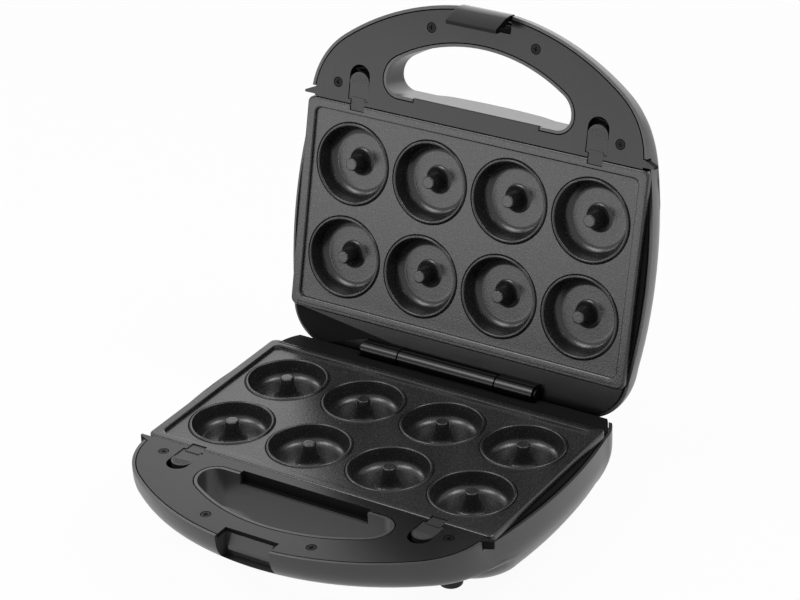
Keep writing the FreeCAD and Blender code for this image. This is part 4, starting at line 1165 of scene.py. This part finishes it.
def light_world(stage):
    """Even surroundings: white where they are seen, dimmer as ambient light."""
    world = bpy.data.worlds.new("studio")
    bpy.context.scene.world = world
    world.use_nodes = True
    nodes = Nodes(world.node_tree)
    background = world.node_tree.nodes["Background"].inputs
    nodes.feed(background["Color"], (1, 1, 1, 1))
    nodes.feed(background["Strength"], seen_rays(nodes) * (1 - stage.ambient) + stage.ambient)


def towards(azimuth, elevation):
    """Unit vector from the object to a viewer or lamp, with azimuth 0 in front of the handle."""
    flat = math.cos(elevation)
    return Vector((math.sin(azimuth) * flat, -math.cos(azimuth) * flat, math.sin(elevation)))


class SoftBox(NamedTuple):
    """A lamp that faces the object, in degrees and metres."""

    name: str
    azimuth: float
    elevation: float
    distance: float
    width: float
    height: float
    brightness: float


SOFT_BOXES = [
    SoftBox("left_softbox", azimuth=-38, elevation=53, distance=1.5,
            width=0.7, height=0.7, brightness=7.0),
    SoftBox("right_softbox", azimuth=98, elevation=55, distance=1.5,
            width=0.6, height=0.6, brightness=8.0),
    SoftBox("side_softbox", azimuth=-82, elevation=30, distance=1.5,
            width=0.5, height=0.5, brightness=5.0),
    SoftBox("front_softbox", azimuth=-34, elevation=-3, distance=1.9,
            width=1.2, height=0.7, brightness=3.0),
    SoftBox("rear_softbox", azimuth=190, elevation=20, distance=1.9,
            width=2.4, height=1.3, brightness=1.15),
]


def add_softboxes(target):
    """Area lamps that face the target and stay unseen by the camera."""
    for box in SOFT_BOXES:
        light = bpy.data.lights.new(box.name, "AREA")
        light.shape = "RECTANGLE"
        light.size = box.width
        light.size_y = box.height
        light.energy = box.brightness * math.pi * box.width * box.height
        lamp = add_object(box.name, light)
        back = towards(math.radians(box.azimuth), math.radians(box.elevation))
        lamp.location = target + back * box.distance
        lamp.rotation_euler = (-back).to_track_quat("-Z", "Y").to_euler()
        lamp.visible_camera = False


def add_camera(stage, target):
    """Camera that looks at the target from the photograph's angle."""
    data = bpy.data.cameras.new("photo_camera")
    data.lens = stage.lens
    camera = add_object("photo_camera", data)
    back = towards(stage.azimuth, stage.elevation)
    upright = (-back).to_track_quat("-Z", "Y").to_matrix().to_4x4()
    place = Matrix.Translation(target + back * stage.distance)
    camera.matrix_world = place @ upright @ Matrix.Rotation(stage.roll, 4, "Z")
    bpy.context.scene.camera = camera


class RINGCAKE_OT_stage(bpy.types.Operator):
    """Floor, soft light and the camera at the photograph's viewing angle"""

    bl_idname = "ringcake.stage"
    bl_label = "Stage"

    def execute(self, context):
        stage = context.scene.ring_cake_maker.stage
        target = HINGE_SPOT + Vector((0, -stage.ahead, stage.above))
        add_floor(stage)
        light_world(stage)
        add_softboxes(target)
        add_camera(stage, target)
        context.scene.view_settings.view_transform = "Standard"
        return {"FINISHED"}


OPERATORS = [
    RINGCAKE_OT_housings, RINGCAKE_OT_frames, RINGCAKE_OT_plates, RINGCAKE_OT_latches,
    RINGCAKE_OT_heating, RINGCAKE_OT_fasteners, RINGCAKE_OT_rubbers, RINGCAKE_OT_lamps,
    RINGCAKE_OT_stage,
]


class RINGCAKE_PT_sidebar(bpy.types.Panel):
    """Buttons for the pieces, in the order in which they are made"""

    bl_idname = "RINGCAKE_PT_sidebar"
    bl_label = "Ring Cake Maker"
    bl_space_type = "VIEW_3D"
    bl_region_type = "UI"
    bl_category = "Ring Cake Maker"

    def draw(self, context):
        for operator in OPERATORS:
            self.layout.operator(operator.bl_idname)


CLASSES = [
    PlateShape, GripShape, EdgeSizes, Finishes, StageSettings, RingCakeMaker, *OPERATORS,
    RINGCAKE_PT_sidebar,
]


def register():
    for cls in CLASSES:
        bpy.utils.register_class(cls)
    bpy.types.Scene.ring_cake_maker = PointerProperty(type=RingCakeMaker)


def unregister():
    del bpy.types.Scene.ring_cake_maker
    for cls in reversed(CLASSES):
        bpy.utils.unregister_class(cls)


def main():
    register()
    for operator in OPERATORS:
        group, name = operator.bl_idname.split(".")
        getattr(getattr(bpy.ops, group), name)()


if __name__ == "__main__":
    main()
